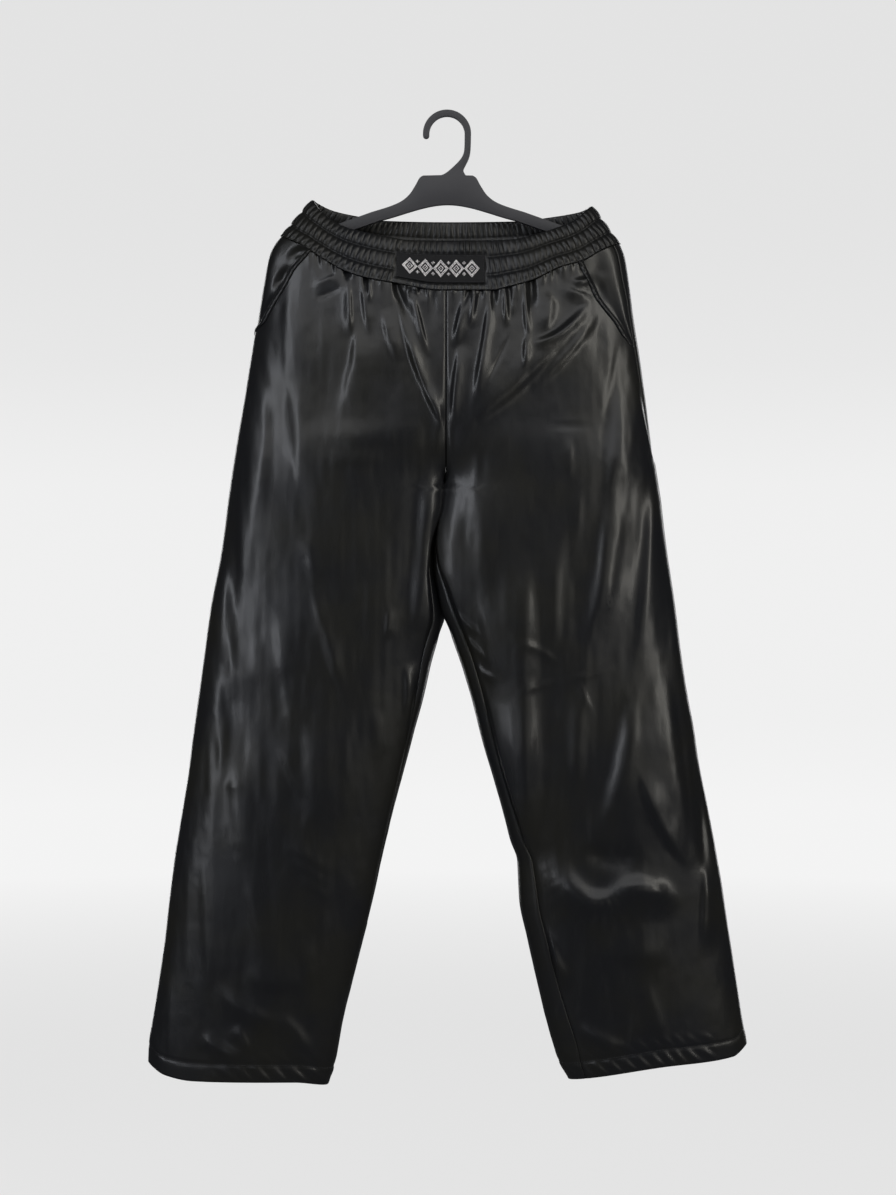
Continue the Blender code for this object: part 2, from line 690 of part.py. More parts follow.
def make_facing(side, gape, material):
    """Pocket facing: flush at the side seam, sunk under the front panel at the mouth."""
    bottom = pocket_bottom(side)
    outer_rows = []
    inner_rows = []
    for row in range(POCKET_ROW + 1):
        z = np.full(len(FACING_COLUMNS), bottom)
        for _ in range(SETTLE):
            rings = Rings(side, z)
            seam = rings.side_seam() + 0.5 * SEAM_GAP
            mouth = rings.pocket_mouth(bottom)
            open_part = ease((z - bottom) / POCKET_BLEND)
            reach = np.maximum(mouth - seam, 2.0) + FACING_UNDERLAP * open_part
            at = seam + FACING_COLUMNS * reach
            spot = rings.points(at)
            z = row_height(side, row, spot[:, 0], spot[:, 1])
            z = np.maximum(z, bottom + 5.0)
        normal = rings.normals(at)
        sunk = ease(1.6 * (at - seam) / np.maximum(mouth - seam, 2.0))
        middle = np.sin(math.pi * row / POCKET_ROW)
        drop = sunk * (FACING_DROP + gape * middle)
        outer = spot - normal * drop[:, None]
        outer_rows.append(outer)
        inner_rows.append(outer - normal * CLOTH)
    name = "pocket_facing_" + side_name(side)
    return sheet_solid(name, np.array(outer_rows), np.array(inner_rows), material)


# ---------------------------------------------------------------- hanger


def arc(cx, cz, radius, start, end, steps):
    """Points of an arc in the XZ plane, angles in degrees."""
    turn = np.radians(np.linspace(start, end, steps + 1))
    return [(cx + radius * math.cos(t), cz + radius * math.sin(t)) for t in turn]


# Upper edge of the plate and arm, measured out from the hanger's middle.
Shoulder = namedtuple("Shoulder", "out z")
SHOULDER = (
    Shoulder(28.5, -68.5),
    Shoulder(32.0, -70.6),
    Shoulder(37.5, -80.0),
    Shoulder(44.5, -90.5),
    Shoulder(53.5, -98.0),
    Shoulder(65.0, -103.3),
    Shoulder(88.0, -110.6),
)
UNDERSIDE_TOP = -101.8     # apex of the arch under the plate
UNDERSIDE_OUT = 78.0       # where the arch runs into the straight underside of an arm
ARM_WIDTH = 2.0 * HANGER_TIP_RADIUS


def arm_outline():
    """One arm from the plate's corner out to its round tip and back to the arch's apex."""
    reach = np.linspace(SHOULDER[0].out, SHOULDER[-1].out, 15)
    outline = list(zip(reach, flow(SHOULDER, "out", "z", reach)))
    tilt = math.degrees(math.atan(HANGER_SLOPE))
    tip_x = HANGER_REACH - HANGER_TIP_RADIUS
    last = SHOULDER[-1]
    run = math.hypot(1.0, HANGER_SLOPE)
    tip_z = last.z - HANGER_SLOPE * (tip_x - last.out) - HANGER_TIP_RADIUS * run
    outline += arc(tip_x, tip_z, HANGER_TIP_RADIUS, 90.0 - tilt, -90.0 - tilt, 8)
    low_x, low_z = outline[-1]
    joint_z = low_z + HANGER_SLOPE * (low_x - UNDERSIDE_OUT)
    for part in (1.0, 0.8, 0.6, 0.4, 0.2):
        sag = part ** 2 * (2.0 - part) if part < 1.0 else 1.0
        outline.append((part * UNDERSIDE_OUT, UNDERSIDE_TOP + sag * (joint_z - UNDERSIDE_TOP)))
    return outline


def hook_outline():
    """Hook and neck: both sides of the rod, from the plate round to the tip and back."""
    half = 0.5 * HOOK_WIDTH
    centre_z = -(HOOK_RADIUS - half)
    outer = HOOK_RADIUS + half
    inner = HOOK_RADIUS - half
    right_neck = [(21.5, -68.3), (18.0, -62.6), (22.3, -54.5), (25.5, -48.0), (27.3, -40.0)]
    outside = arc(0.0, centre_z, outer, 0.0, 178.0, 16)
    tip = arc(-HOOK_RADIUS, centre_z - 1.5, half, 180.0, 360.0, 6)
    inside = arc(0.0, centre_z, inner, 178.0, 0.0, 14)
    left_neck = [(20.1, -40.0), (17.8, -46.6), (13.5, -52.4), (4.0, -61.5), (-2.0, -66.2)]
    return right_neck + outside + tip + inside + left_neck + [(-6.5, -68.0)]


def make_hanger(material):
    """Flat moulded hanger: one outline in the XZ plane, given thickness and soft edges."""
    arm = arm_outline()
    outline = hook_outline()
    outline += [(HANGER_CENTRE - x, z) for x, z in arm]
    outline.append((HANGER_CENTRE, UNDERSIDE_TOP))
    outline += [(HANGER_CENTRE + x, z) for x, z in reversed(arm)]
    build = bmesh.new()
    corners = [build.verts.new((MM * x, -MM * HANGER_HALF_THICKNESS, MM * z)) for x, z in outline]
    face = build.faces.new(corners)
    grown = bmesh.ops.extrude_face_region(build, geom=[face])
    moved = [item for item in grown["geom"] if isinstance(item, bmesh.types.BMVert)]
    bmesh.ops.translate(build, verts=moved, vec=(0.0, 2.0 * MM * HANGER_HALF_THICKNESS, 0.0))
    bmesh.ops.recalc_face_normals(build, faces=build.faces)
    rims = [edge for edge in build.edges if len({round(v.co.y, 6) for v in edge.verts}) == 1]
    bmesh.ops.bevel(build, geom=rims, offset=0.9 * MM, segments=1, affect="EDGES")
    bmesh.ops.triangulate(build, faces=build.faces)
    mesh = bpy.data.meshes.new("hanger")
    build.to_mesh(mesh)
    build.free()
    mesh.materials.append(material)
    mesh.shade_smooth()
    mesh.set_sharp_from_angle(angle=math.radians(40.0))
    item = bpy.data.objects.new("hanger", mesh)
    bpy.context.scene.collection.objects.link(item)
    return item


# ---------------------------------------------------------------- assembly


def main():
    for item in list(bpy.data.objects):
        bpy.data.objects.remove(item, do_unlink=True)
    leather = new_material("black_leather", (0.016, 0.016, 0.017), 0.42)
    leather_band = new_material("gathered_leather", (0.020, 0.020, 0.021), 0.48)
    welt = new_material("welt_leather", (0.012, 0.012, 0.013), 0.45)
    patch = new_material("label_cloth", (0.010, 0.010, 0.010), 0.85)
    plastic = new_material("hanger_plastic", (0.036, 0.036, 0.040), 0.5)
    for side in (RIGHT, LEFT):
        name = side_name(side)
        outer, inner, normals = shaped_panel(side, "front")
        sheet_solid("front_panel_" + name, outer, inner, leather)
        make_binding(side, outer, normals, welt)
        outer, inner, _ = shaped_panel(side, "back")
        sheet_solid("back_panel_" + name, outer, inner, leather)
    make_facing(RIGHT, POCKET_GAPE[RIGHT], leather)
    make_facing(LEFT, POCKET_GAPE[LEFT], leather)
    make_waistband(leather_band)
    make_label(patch)
    make_hanger(plastic)


main()
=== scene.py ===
import math

import bmesh
import bpy
import numpy as np
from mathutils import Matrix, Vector


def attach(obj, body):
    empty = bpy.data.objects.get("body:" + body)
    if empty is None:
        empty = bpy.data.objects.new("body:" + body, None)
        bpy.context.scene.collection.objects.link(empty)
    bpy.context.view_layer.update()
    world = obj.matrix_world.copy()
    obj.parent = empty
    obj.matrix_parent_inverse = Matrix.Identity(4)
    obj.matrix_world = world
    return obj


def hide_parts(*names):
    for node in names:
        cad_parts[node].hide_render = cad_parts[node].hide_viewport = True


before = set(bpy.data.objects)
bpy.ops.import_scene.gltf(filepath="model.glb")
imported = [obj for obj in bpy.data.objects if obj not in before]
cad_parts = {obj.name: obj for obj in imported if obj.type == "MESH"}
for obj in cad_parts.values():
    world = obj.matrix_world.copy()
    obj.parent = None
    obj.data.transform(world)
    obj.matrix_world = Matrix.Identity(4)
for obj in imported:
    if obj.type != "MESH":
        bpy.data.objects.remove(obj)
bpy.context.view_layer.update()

mm = 0.001
right = -1  # the wearer's right leg, at -X
left = 1
sideName = {right: "right", left: "left"}
shelf = bpy.context.scene.collection
rng = np.random.default_rng(41)

# sizes of the cut, in millimetres, as the solids have them

cloth = {
    "wall": 1.5,
    "hemWall": 2.7,
    "hemHeight": 20.0,
    "seamGap": 0.3,
    "bandGap": 0.45,
    "edgeEase": 7.0,       # folds fade out over this distance from a seam
    "seamSink": 0.9,       # how far a seam sinks into the cloth
    "hemGroove": 0.55,     # and the line of the hem stitches
    "forkLevel": -420.0,   # no seam sinks within forkClear of it
    "forkClear": 14.0,
    "seamWidth": 1.8,
    "stitchLift": 0.12,
    "hipLevel": -300.0,
    "lastLevel": -1033.0,
}

# height, right, left: outer edge of hips and legs
outerEdge = (
    (-125, -176.0, 177.0), (-138, -190.0, 190.5), (-148, -198.4, 198.8), (-161, -204.7, 204.7),
    (-189, -210.5, 209.3), (-235, -218.5, 215.5), (-304, -230.0, 225.4), (-373, -241.5, 233.5),
    (-442, -251.9, 241.5), (-511, -261.1, 250.7), (-580, -273.7, 262.2), (-672, -286.4, 277.2),
    (-764, -300.2, 294.4), (-856, -314.0, 311.7), (-948, -325.5, 326.6), (-1040, -339.3, 340.4),
    (-1068, -343.3, 345.0), (-1120, -344.5, 346.0),
)
# height, right, left: centre seam, then the inner edge of each leg
innerEdge = (
    (-430, -1.0, -1.0), (-450, -3.0, -3.0), (-470, -8.0, -8.0), (-500, -12.5, -12.5),
    (-520, -12.5, -12.5), (-544, -8.6, -8.6), (-576, -4.0, -2.0), (-600, -9.5, 5.0),
    (-632, -18.5, 16.0), (-665, -26.0, 26.0), (-717, -40.0, 40.0), (-764, -52.0, 54.0),
    (-810, -64.0, 67.0), (-833, -69.5, 72.5), (-856, -75.0, 80.5), (-880, -80.0, 81.7),
    (-902, -85.0, 83.0), (-948, -96.5, 93.0), (-994, -108.0, 103.5), (-1040, -119.5, 114.0),
    (-1086, -128.0, 128.0), (-1107, -134.0, 139.0), (-1118, -138.0, 144.0),
)
# height, depth in front, depth behind, share of one ring for both legs, bluntness outside, inside
depths = (
    (-100, 33.0, 28.0, 1.00, 0.80, 0.80), (-150, 36.0, 30.0, 1.00, 0.80, 0.80),
    (-205, 38.0, 33.0, 1.00, 0.75, 0.75), (-300, 42.0, 38.0, 1.00, 0.70, 0.70),
    (-345, 42.0, 39.0, 0.80, 0.70, 0.68), (-375, 42.0, 40.0, 0.41, 0.70, 0.60),
    (-398, 41.6, 40.0, 0.13, 0.70, 0.54), (-413, 41.2, 40.0, 0.034, 0.70, 0.50),
    (-423, 41.0, 40.0, 0.007, 0.70, 0.48), (-430, 40.8, 40.0, 0.00, 0.70, 0.46),
    (-520, 38.5, 39.0, 0.00, 0.70, 0.50), (-650, 36.0, 37.0, 0.00, 0.70, 0.62),
    (-800, 34.0, 35.0, 0.00, 0.70, 0.70), (-1000, 32.0, 33.0, 0.00, 0.70, 0.70),
    (-1118, 30.0, 31.0, 0.00, 0.72, 0.72),
)
# height, inseams right and left, side seams right and left: positive lies on the front
insets = (
    (-140, 0.0, 0.0, -4.0, 10.0), (-184, 0.0, 0.0, -4.0, 9.0), (-220, 0.0, 0.0, -4.0, 6.5),
    (-300, 0.0, 0.0, -4.0, 5.0), (-340, 0.0, 0.0, -4.0, 3.5), (-380, 0.0, 0.0, -4.0, 1.0),
    (-430, 0.0, 0.0, -4.0, -1.0), (-480, 3.0, 1.5, -4.0, -2.0), (-512, 5.0, 3.4, -4.0, -2.5),
    (-540, 8.0, 8.0, -4.0, -2.5), (-583, 11.0, 13.0, -4.0, -3.0), (-610, 12.0, 15.0, -4.0, -3.0),
    (-640, 10.0, 14.5, -4.0, -3.0), (-690, 6.5, 13.5, -4.0, -3.0), (-760, 3.4, 11.6, -4.0, -3.0),
    (-836, 1.8, 14.5, -4.0, -3.0), (-906, 0.4, 21.0, -4.0, -3.0), (-987, -1.0, 22.0, -4.0, -3.0),
    (-1064, -2.0, 27.0, -4.0, -3.0), (-1110, -2.0, 20.0, -4.0, -3.0),
)
# height, right, left: pocket mouths
pocketMouths = (
    (-150, -154.0, 143.0), (-159, -162.0, 149.0), (-169, -171.0, 155.0), (-180, -180.5, 160.0),
    (-199, -191.0, 169.5), (-211, -198.5, 175.0), (-224, -206.0, 184.5), (-242, -215.0, 199.0),
    (-260, -222.0, 208.5), (-274, -226.0, 215.0),
)
# along X, height: edges that run across
bandTop = {
    "front": (
        (-155, -96.6), (-146, -109.0), (-131, -122.5), (-111, -132.5), (-90, -138.0),
        (-60, -144.0), (-43, -147.0), (0, -147.7), (39, -147.5), (74, -146.0), (91, -142.5),
        (108, -137.5), (129, -130.0), (148, -120.5), (158, -111.0), (167, -103.5),
    ),
    "back": (
        (-155, -96.6), (-132, -106.0), (-104, -111.5), (-74, -116.0), (0, -117.2),
        (87, -116.6), (114, -113.5), (154, -108.0), (167, -103.5),
    ),
}
bandSeam = {
    "front": (
        (-190, -138.0), (-182, -143.0), (-165, -151.5), (-152, -160.5), (-133, -173.0),
        (-117, -182.0), (-92, -190.5), (-60, -196.5), (-8, -205.0), (50, -205.0), (73, -200.0),
        (97, -193.0), (128, -178.0), (156, -169.0), (175, -157.5), (197, -147.2),
    ),
    "back": (
        (-190, -138.0), (-165, -148.0), (-120, -162.0), (-60, -172.0), (0, -176.0),
        (60, -174.0), (120, -166.0), (170, -155.0), (197, -147.2),
    ),
}
hemEdge = {
    right: ((-345, -1086.0), (-322, -1100.0), (-290, -1105.5), (-174, -1107.5), (-138, -1113.0)),
    left: ((139, -1107.0), (175, -1101.0), (242, -1089.5), (327, -1079.0), (345, -1066.0)),
}


def flow(rows, column, at):
    # smooth value of one column of a table, with no overshoot between its rows
    table = np.array(sorted(rows), dtype=float)
    xs, ys = table[:, 0], table[:, column]
    steps = np.diff(xs)
    slopes = np.diff(ys) / steps
    tangents = np.empty_like(ys)
    tangents[0], tangents[-1] = slopes[0], slopes[-1]
    total = slopes[:-1] + slopes[1:]
    sameWay = slopes[:-1] * slopes[1:] > 0
    mean = 2.0 * slopes[:-1] * slopes[1:] / np.where(sameWay, total, 1.0)
    tangents[1:-1] = np.where(sameWay, mean, 0.0)
    at = np.clip(np.asarray(at, dtype=float), xs[0], xs[-1])
    cell = np.clip(np.searchsorted(xs, at) - 1, 0, len(xs) - 2)
    width = steps[cell]
    t = (at - xs[cell]) / width
    low = (1 + 2 * t) * (1 - t) ** 2 * ys[cell] + t * (1 - t) ** 2 * width * tangents[cell]
    high = t * t * (3 - 2 * t) * ys[cell + 1] + t * t * (t - 1) * width * tangents[cell + 1]
    return low + high


def ease(value):
    value = np.clip(value, 0.0, 1.0)
    return value * value * (3.0 - 2.0 * value)


def readTable(table, across, down):
    # values between the rows and columns of a table
    down = np.clip(down, 0.0, len(table) - 1.001)
    across = np.clip(across, 0.0, table.shape[1] - 1.001)
    i, j = down.astype(int), across.astype(int)
    u, v = down - i, across - j
    upper = table[i, j] * (1 - v) + table[i, j + 1] * v
    lower = table[i + 1, j] * (1 - v) + table[i + 1, j + 1] * v
    return upper * (1 - u) + lower * u


def acrossEdge(edges, x, y):
    # height of an edge that runs all round, from its front or back table
    return np.where(y < 0, flow(edges["front"], 1, x), flow(edges["back"], 1, x))


# the hanging form: one closed ring for each millimetre of height

hanging = {
    "top": -95.0, "bottom": -1127.0,
    "crowding": 0.485,     # the angles crowd where the ring turns
    "zeroAngle": 60,       # the angle from which the way round is measured
    "bend": 3.4,           # between the thighs both legs bend sideways together, so no light passes
    "bendTop": -386.0, "bendBottom": -598.0, "bendWidth": 14.0, "bendDepth": 26.0,
    "pocketEase": 22.0,    # the pocket mouth closes over this height
}
pocketDepth = {right: 0.75, left: 0.82}  # part of the way from the waist seam to the hips
settleRounds = 22  # rows that slant settle on the form in so many rounds

turn = np.linspace(-0.5 * math.pi, 2.5 * math.pi, 361)
angles = turn - hanging["crowding"] * np.sin(2.0 * turn)


class HangingForm:
    def __init__(self, side):
        self.side = side
        own, other = (1, 2) if side == right else (2, 1)
        self.top = hanging["top"]
        z = np.arange(self.top, hanging["bottom"], -1.0)
        outer = flow(outerEdge, own, z)
        inner = flow(innerEdge, own, z) + side * cloth["seamGap"]
        front, back, shared, outerRound, innerRound = (flow(depths, k, z) for k in range(1, 6))
        cut = inner.copy()
        inner = inner + shared * (flow(outerEdge, other, z) - inner)
        middle, half = 0.5 * (outer + inner), 0.5 * (outer - inner)
        cosine, sine = np.cos(angles)[None], np.sin(angles)[None]
        x = middle[:, None] + half[:, None] * cosine
        power = outerRound[:, None] + (innerRound - outerRound)[:, None] * (1 - cosine) / 2
        bulge = np.abs(sine) ** power
        y = np.where(sine > 0, -front[:, None] * bulge, back[:, None] * bulge)
        level = ease((hanging["bendTop"] - z) / 24.0) * ease((z - hanging["bendBottom"]) / 30.0)
        gapX = flow(innerEdge, 1, z)[:, None]
        bend = np.exp(-((x - gapX) / hanging["bendWidth"]) ** 2)
        bend = bend * np.sin(math.pi * np.clip(y / hanging["bendDepth"], -1.0, 1.0))
        x = x + hanging["bend"] * level[:, None] * bend
        length = np.hypot(np.diff(x, axis=1), np.diff(y, axis=1))
        s = np.concatenate([np.zeros((len(z), 1)), np.cumsum(length, axis=1)], axis=1)
        s -= s[:, hanging["zeroAngle"]][:, None]
        self.byAngle = s
        self.start, self.step = -120.0, 0.5
        even = np.arange(self.start, s[:, -1].max() + 1.0, self.step)
        self.xs, self.ys = (np.array([np.interp(even, *pair) for pair in zip(s, values)])
                            for values in (x, y))

        def at(angle):
            return np.array([np.interp(a, angles, row) for a, row in zip(angle, s)])

        def angleOf(xAt):
            return np.arccos(np.clip((xAt - middle) / half, -1.0, 1.0))

        def insetAngle(inset):
            angle = np.arccos(np.clip(1.0 - np.abs(inset / half), -1.0, 1.0))
            return np.where(inset > 0, angle, -angle)

        inseam = at(math.pi - insetAngle(flow(insets, own, z)))
        centre = angleOf(cut)
        pocketTop = float(flow(bandSeam["front"], 1, side * 190.0))
        self.pocketBottom = pocketTop + pocketDepth[side] * (cloth["hipLevel"] - pocketTop)
        seam = at(insetAngle(flow(insets, own + 2, z)))
        mouth = at(angleOf(flow(pocketMouths, own, z)))
        self.columns = {
            "sideSeam": seam,
            "mouth": seam + (mouth - seam) * self.pocketOpen(z),
            "frontInner": np.where(shared > 0.0, at(centre), inseam),
            "backInner": np.where(shared > 0.0, at(2.0 * math.pi - centre), inseam),
            "wholeTurn": at(np.full(len(z), 2.0 * math.pi)),
        }

    def pocketOpen(self, z):
        # 1 along the pocket mouth, down to 0 at its lower end
        return ease((z - self.pocketBottom) / hanging["pocketEase"])

    def read(self, name, z):
        column = self.columns[name]
        return np.interp(self.top - np.asarray(z), np.arange(len(column)), column)

    def angleDistance(self, angle, z):
        k = np.interp(angle, angles, np.arange(len(angles)))
        return readTable(self.byAngle, k, self.top - z)

    def points(self, s, z):
        across = (s - self.start) / self.step
        down = self.top - z
        return np.stack([readTable(self.xs, across, down), readTable(self.ys, across, down),
                         np.broadcast_to(z, s.shape)], -1)

    def normals(self, s, z):
        along = self.points(s + 0.6, z) - self.points(s - 0.6, z)
        normal = self.side * np.stack([-along[..., 1], along[..., 0], 0.0 * z], -1)
        return normal / np.linalg.norm(normal, axis=-1, keepdims=True)


forms = {side: HangingForm(side) for side in (right, left)}
print("hanging form ready")


def softNoise(x, z, size, seed):
    # smooth random waves of one size, the same on every run
    count = 64
    table = np.random.default_rng(seed).uniform(-1.0, 1.0, (count, count))
    u, v = np.asarray(x) / size + 31.7, np.asarray(z) / size + 17.3
    i, j = np.floor(u).astype(int), np.floor(v).astype(int)
    a, b = ease(u - i), ease(v - j)

    def along(row):
        near, far = table[i % count, row % count], table[(i + 1) % count, row % count]
        return near * (1 - a) + far * a

    return along(j) * (1 - b) + along(j + 1) * b


# x and z of start, bend and end, width at start and end, height, tail
# with a tail the cloth rises steeply at the line and falls off slowly over this distance, to the
# right of a line that runs down, or to the left if it is negative
# without one it is an even ridge or trough, as crisp as the last number says
frontTucks = (
    (-117, -174, -115, -183, -113, -196, 3, 3.5, -6.0, 0, 1.5),
    (-93, -184, -92, -200, -90, -222, 2.4, 4, -6.0, 0, 1.5),
    (-60, -190, -54, -212, -40, -250, 3, 7, -7.0, 0, 1.6),
    (-31, -199, -29, -206, -25, -218, 2.4, 4, -2.6, 0, 1.6),
    (-14, -205, -15, -225, -13, -250, 3, 5, -1.4, 0, 1.8),
    (25, -204, 21, -216, 14, -238, 2.4, 4, -2.8, 0, 1.6),
    (38, -203, 36, -218, 30, -246, 2.4, 4, -2.8, 0, 1.6),
    (53, -199, 53, -214, 54, -236, 2.6, 4, -5.0, 0, 1.6),
    (70, -194, 72, -216, 73, -250, 2.6, 4, -6.0, 0, 1.6),
    (96, -188, 98, -208, 92, -244, 3.6, 5.5, -7.5, 0, 1.6),
    (124, -179, 126, -190, 130, -204, 3, 5, -1.8, 0, 1.6),
    (-150, -160, -147, -172, -142, -190, 3, 5, -1.8, 0, 1.6),
    (-134, -168, -131, -180, -126, -196, 3, 5, -1.6, 0, 1.6),
    (150, -169, 152, -180, 158, -192, 3, 5, -1.6, 0, 1.6),
)
frontFolds = (
    # right hip
    (-184, -185, -190, -260, -183, -330, 5, 7, 1.3, 26),
    (-182, -300, -176, -350, -171, -450, 6, 9, 1.9, 26),
    (-206, -300, -203, -380, -206, -480, 8, 9, -2.6, 40),
    (-229, -300, -227, -420, -225, -590, 6, 8, 0.7, 39),
    (-215, -262, -210, -290, -202, -330, 5, 7, 0.6, 14),
    (-110, -186, -108, -222, -107, -262, 2.6, 3, 3.5, -9),
    (-106, -240, -106, -290, -126, -352, 4, 8, 2.9, 39),
    (-158, -200, -140, -190, -121, -184, 4, 2.4, 1.2, -8),
    (-152, -214, -134, -208, -118, -200, 4, 2.6, -1.2, 0, 1.6),
    (-97, -186, -97, -225, -88, -266, 2.6, 4.5, 2.3, 9),
    (-87, -188, -86, -200, -86, -222, 2.4, 3, 3.2, -8),
    (-60, -200, -51, -262, -30, -318, 2.6, 4, 2.4, 9),
    (-38, -204, -30, -240, -18, -284, 2.6, 3.4, 3.2, -8),
    (-47, -236, -42, -300, -6, -356, 3.4, 5, 3.5, 11),
    (-30, -316, -16, -338, -4, -366, 3.4, 4, 3, 9),
    (-76, -226, -70, -256, -58, -292, 4, 6, 2.9, 14),
    (-48, -200, -40, -204, -30, -209, 3, 3, 1.8, 8),
    (-165, -372, -95, -392, -14, -366, 11, 12, 2.8, 51),
    (-150, -398, -110, -404, -60, -398, 9, 9, 1.8, 18),
    # right thigh, with the rolled inner edge
    (-238, -395, -240, -480, -240, -570, 6, 6, 1.5, 20),
    (-256, -470, -252, -590, -236, -650, 8, 9, -3.6, 60),
    (-170, -480, -160, -505, -150, -545, 9, 9, 1.9, 16),
    (-160, -528, -146, -588, -117, -682, 6, 6, 2.2, 14),
    (-194, -560, -194, -610, -187, -672, 12, 9, 2, 33),
    (-68, -560, -68, -582, -72, -606, 4, 4, 1.8, 9),
    (-13, -392, -20, -480, -34, -600, 2.6, 3, 0.3, -6),
    (-19, -400, -27, -490, -41, -628, 2.6, 3, 0.3, -6),
    (-24, -380, -30, -480, -44, -640, 12, 12, 7.4, 90),
    (-50, -628, -44, -660, -52, -712, 5, 7, 3.7, 12),
    (-78, -676, -70, -706, -74, -744, 7, 8, 1.2, -14),
    # right shin
    (-262, -634, -250, -700, -248, -780, 6, 9, -2.8, 50),
    (-246, -700, -246, -800, -236, -880, 10, 9, 1.8, 40),
    (-236, -850, -226, -920, -200, -992, 6, 6, 1.6, 20),
    (-188, -640, -186, -676, -176, -716, 6, 7, 1.9, 18),
    (-198, -712, -182, -750, -164, -792, 5, 7, 1.7, 18),
    (-166, -680, -158, -750, -158, -830, 13, 13, 3, 45),
    (-186, -836, -160, -852, -130, -872, 5, 5, 1.1, 12),
    (-182, -852, -158, -868, -132, -888, 5, 5, 1, 12),
    (-170, -872, -150, -888, -134, -904, 5, 5, 0.8, 12),
    (-280, -850, -276, -930, -276, -1030, 9, 9, 1.6, 30),
    (-168, -940, -162, -970, -158, -1004, 6, 6, 1.3, 16),
    (-240, -990, -196, -1004, -150, -998, 9, 9, 2.2, 33),
    (-262, -988, -232, -1026, -176, -1036, 8, 10, 3.2, -18),
    (-196, -1022, -164, -1040, -144, -1092, 8, 9, 2.5, -16),
    (-280, -1046, -262, -1066, -222, -1078, 6, 7, 2.7, -12),
    (-240, -1036, -228, -1052, -220, -1078, 6, 6, 2.8, -12),
    (-112, -868, -100, -896, -94, -916, 5, 5, 0.5, -9),
    (-256, -766, -242, -763, -226, -771, 3, 3, 0.9, -6),
    (-308, -700, -316, -800, -322, -900, 9, 9, -1.4, 40),
    # left hip
    (21, -198, 12, -238, 3, -272, 4.5, 5, 4.4, 12),
    (31, -200, 27, -222, 24, -250, 2.6, 3, 2.6, 8),
    (48, -200, 42, -262, 24, -350, 3.4, 6, 4.7, 11),
    (14, -262, 6, -302, 3, -366, 4, 5, 3.8, 11),
    (64, -196, 64, -220, 65, -250, 2.6, 3, 3, 8),
    (77, -194, 76, -214, 76, -240, 2.6, 3, 2, -8),
    (73, -250, 62, -280, 40, -318, 1.6, 1.6, -1.3, 0, 1.5),
    (88, -190, 85, -236, 92, -268, 2.8, 3.4, 3.7, 8),
    (92, -262, 128, -264, 166, -208, 4, 5, 4.7, -9),
    (88, -252, 87, -272, 86, -298, 3, 3, 3.5, 8),
    (112, -196, 134, -228, 106, -262, 8, 10, 4.1, -16),
    (134, -196, 150, -210, 168, -208, 5, 5, 2.6, -9),
    (140, -190, 156, -196, 174, -180, 4, 4, 3.5, -8),
    (8, -372, 84, -330, 178, -212, 9, 7, 4.6, 45),
    (96, -322, 144, -284, 184, -216, 8, 6, 3.5, 13),
    (198, -248, 188, -290, 173, -376, 4, 6, 0.8, -14),
    (214, -252, 212, -276, 206, -306, 4, 5, 0.5, -9),
    (224, -306, 210, -370, 202, -456, 5, 7, 0.6, -30),
    (192, -300, 188, -370, 180, -460, 9, 9, 5.6, 50),
    (142, -372, 142, -392, 143, -424, 4, 4, 1, -9),
    (153, -430, 152, -456, 152, -496, 3.6, 4, 1, -9),
    (112, -356, 140, -362, 174, -360, 2.2, 2.2, -0.6, 0, 2),
    # left thigh
    (-6, -505, 6, -560, 36, -656, 3.4, 3.4, 0.3, 9),
    (27, -384, 32, -470, 36, -566, 9, 11, 2.5, 40),
    (35, -530, 40, -600, 58, -690, 10, 10, 2.3, 40),
    (96, -490, 96, -600, 98, -740, 13, 14, 6.4, -54),
    (99, -640, 100, -765, 98, -868, 15, 14, 10.0, -60),
    (132, -470, 128, -550, 124, -640, 8, 8, 2.4, -18),
    (184, -420, 176, -500, 156, -622, 8, 8, 4.4, 40),
    (206, -420, 196, -500, 172, -640, 7, 12, 1.9, -36),
    (234, -370, 230, -500, 206, -670, 9, 9, 5.6, 50),
    (244, -420, 250, -540, 262, -668, 6, 8, -3, -50),
    (74, -604, 106, -602, 134, -634, 3, 3, 1.1, -7),
    (78, -662, 104, -650, 130, -646, 3, 3, 1, -7),
    (126, -647, 160, -642, 200, -626, 3, 3, 0.9, -7),
    (148, -645, 160, -664, 170, -694, 3, 3, 1, -7),
    (10, -566, 26, -586, 42, -596, 3, 3, 1.7, -6),
    (18, -592, 32, -608, 48, -624, 3, 3, 1.8, -6),
    (28, -626, 42, -640, 60, -646, 3, 3, 1.5, -6),
    # left shin
    (206, -650, 200, -740, 166, -838, 10, 11, 5.0, 54),
    (216, -640, 216, -720, 209, -812, 7, 8, 1.4, -16),
    (158, -640, 156, -710, 152, -780, 8, 8, 2.3, -16),
    (254, -630, 261, -735, 282, -846, 7, 8, 4.2, -42),
    (284, -700, 290, -790, 297, -880, 7, 7, -3.4, 0, 2),
    (212, -738, 230, -820, 280, -868, 5, 6, 4.4, 20),
    (126, -832, 158, -922, 204, -878, 15, 15, 9.0, -30),
    (166, -902, 222, -846, 272, -908, 15, 15, 9.2, -30),
    (150, -838, 188, -862, 226, -842, 13, 13, -3.6, 0, 2),
    (292, -850, 293, -910, 288, -968, 6, 7, 4, 14),
    (112, -924, 124, -962, 146, -1000, 9, 9, 5, -45),
    (148, -1036, 176, -1056, 214, -1066, 8, 8, 2.8, -14),
    (228, -986, 244, -1026, 256, -1074, 9, 8, 2.2, -16),
    (322, -880, 330, -980, 336, -1050, 6, 7, -1.6, -40),
    (176, -960, 220, -975, 262, -966, 12, 12, 2.5, 36),
)
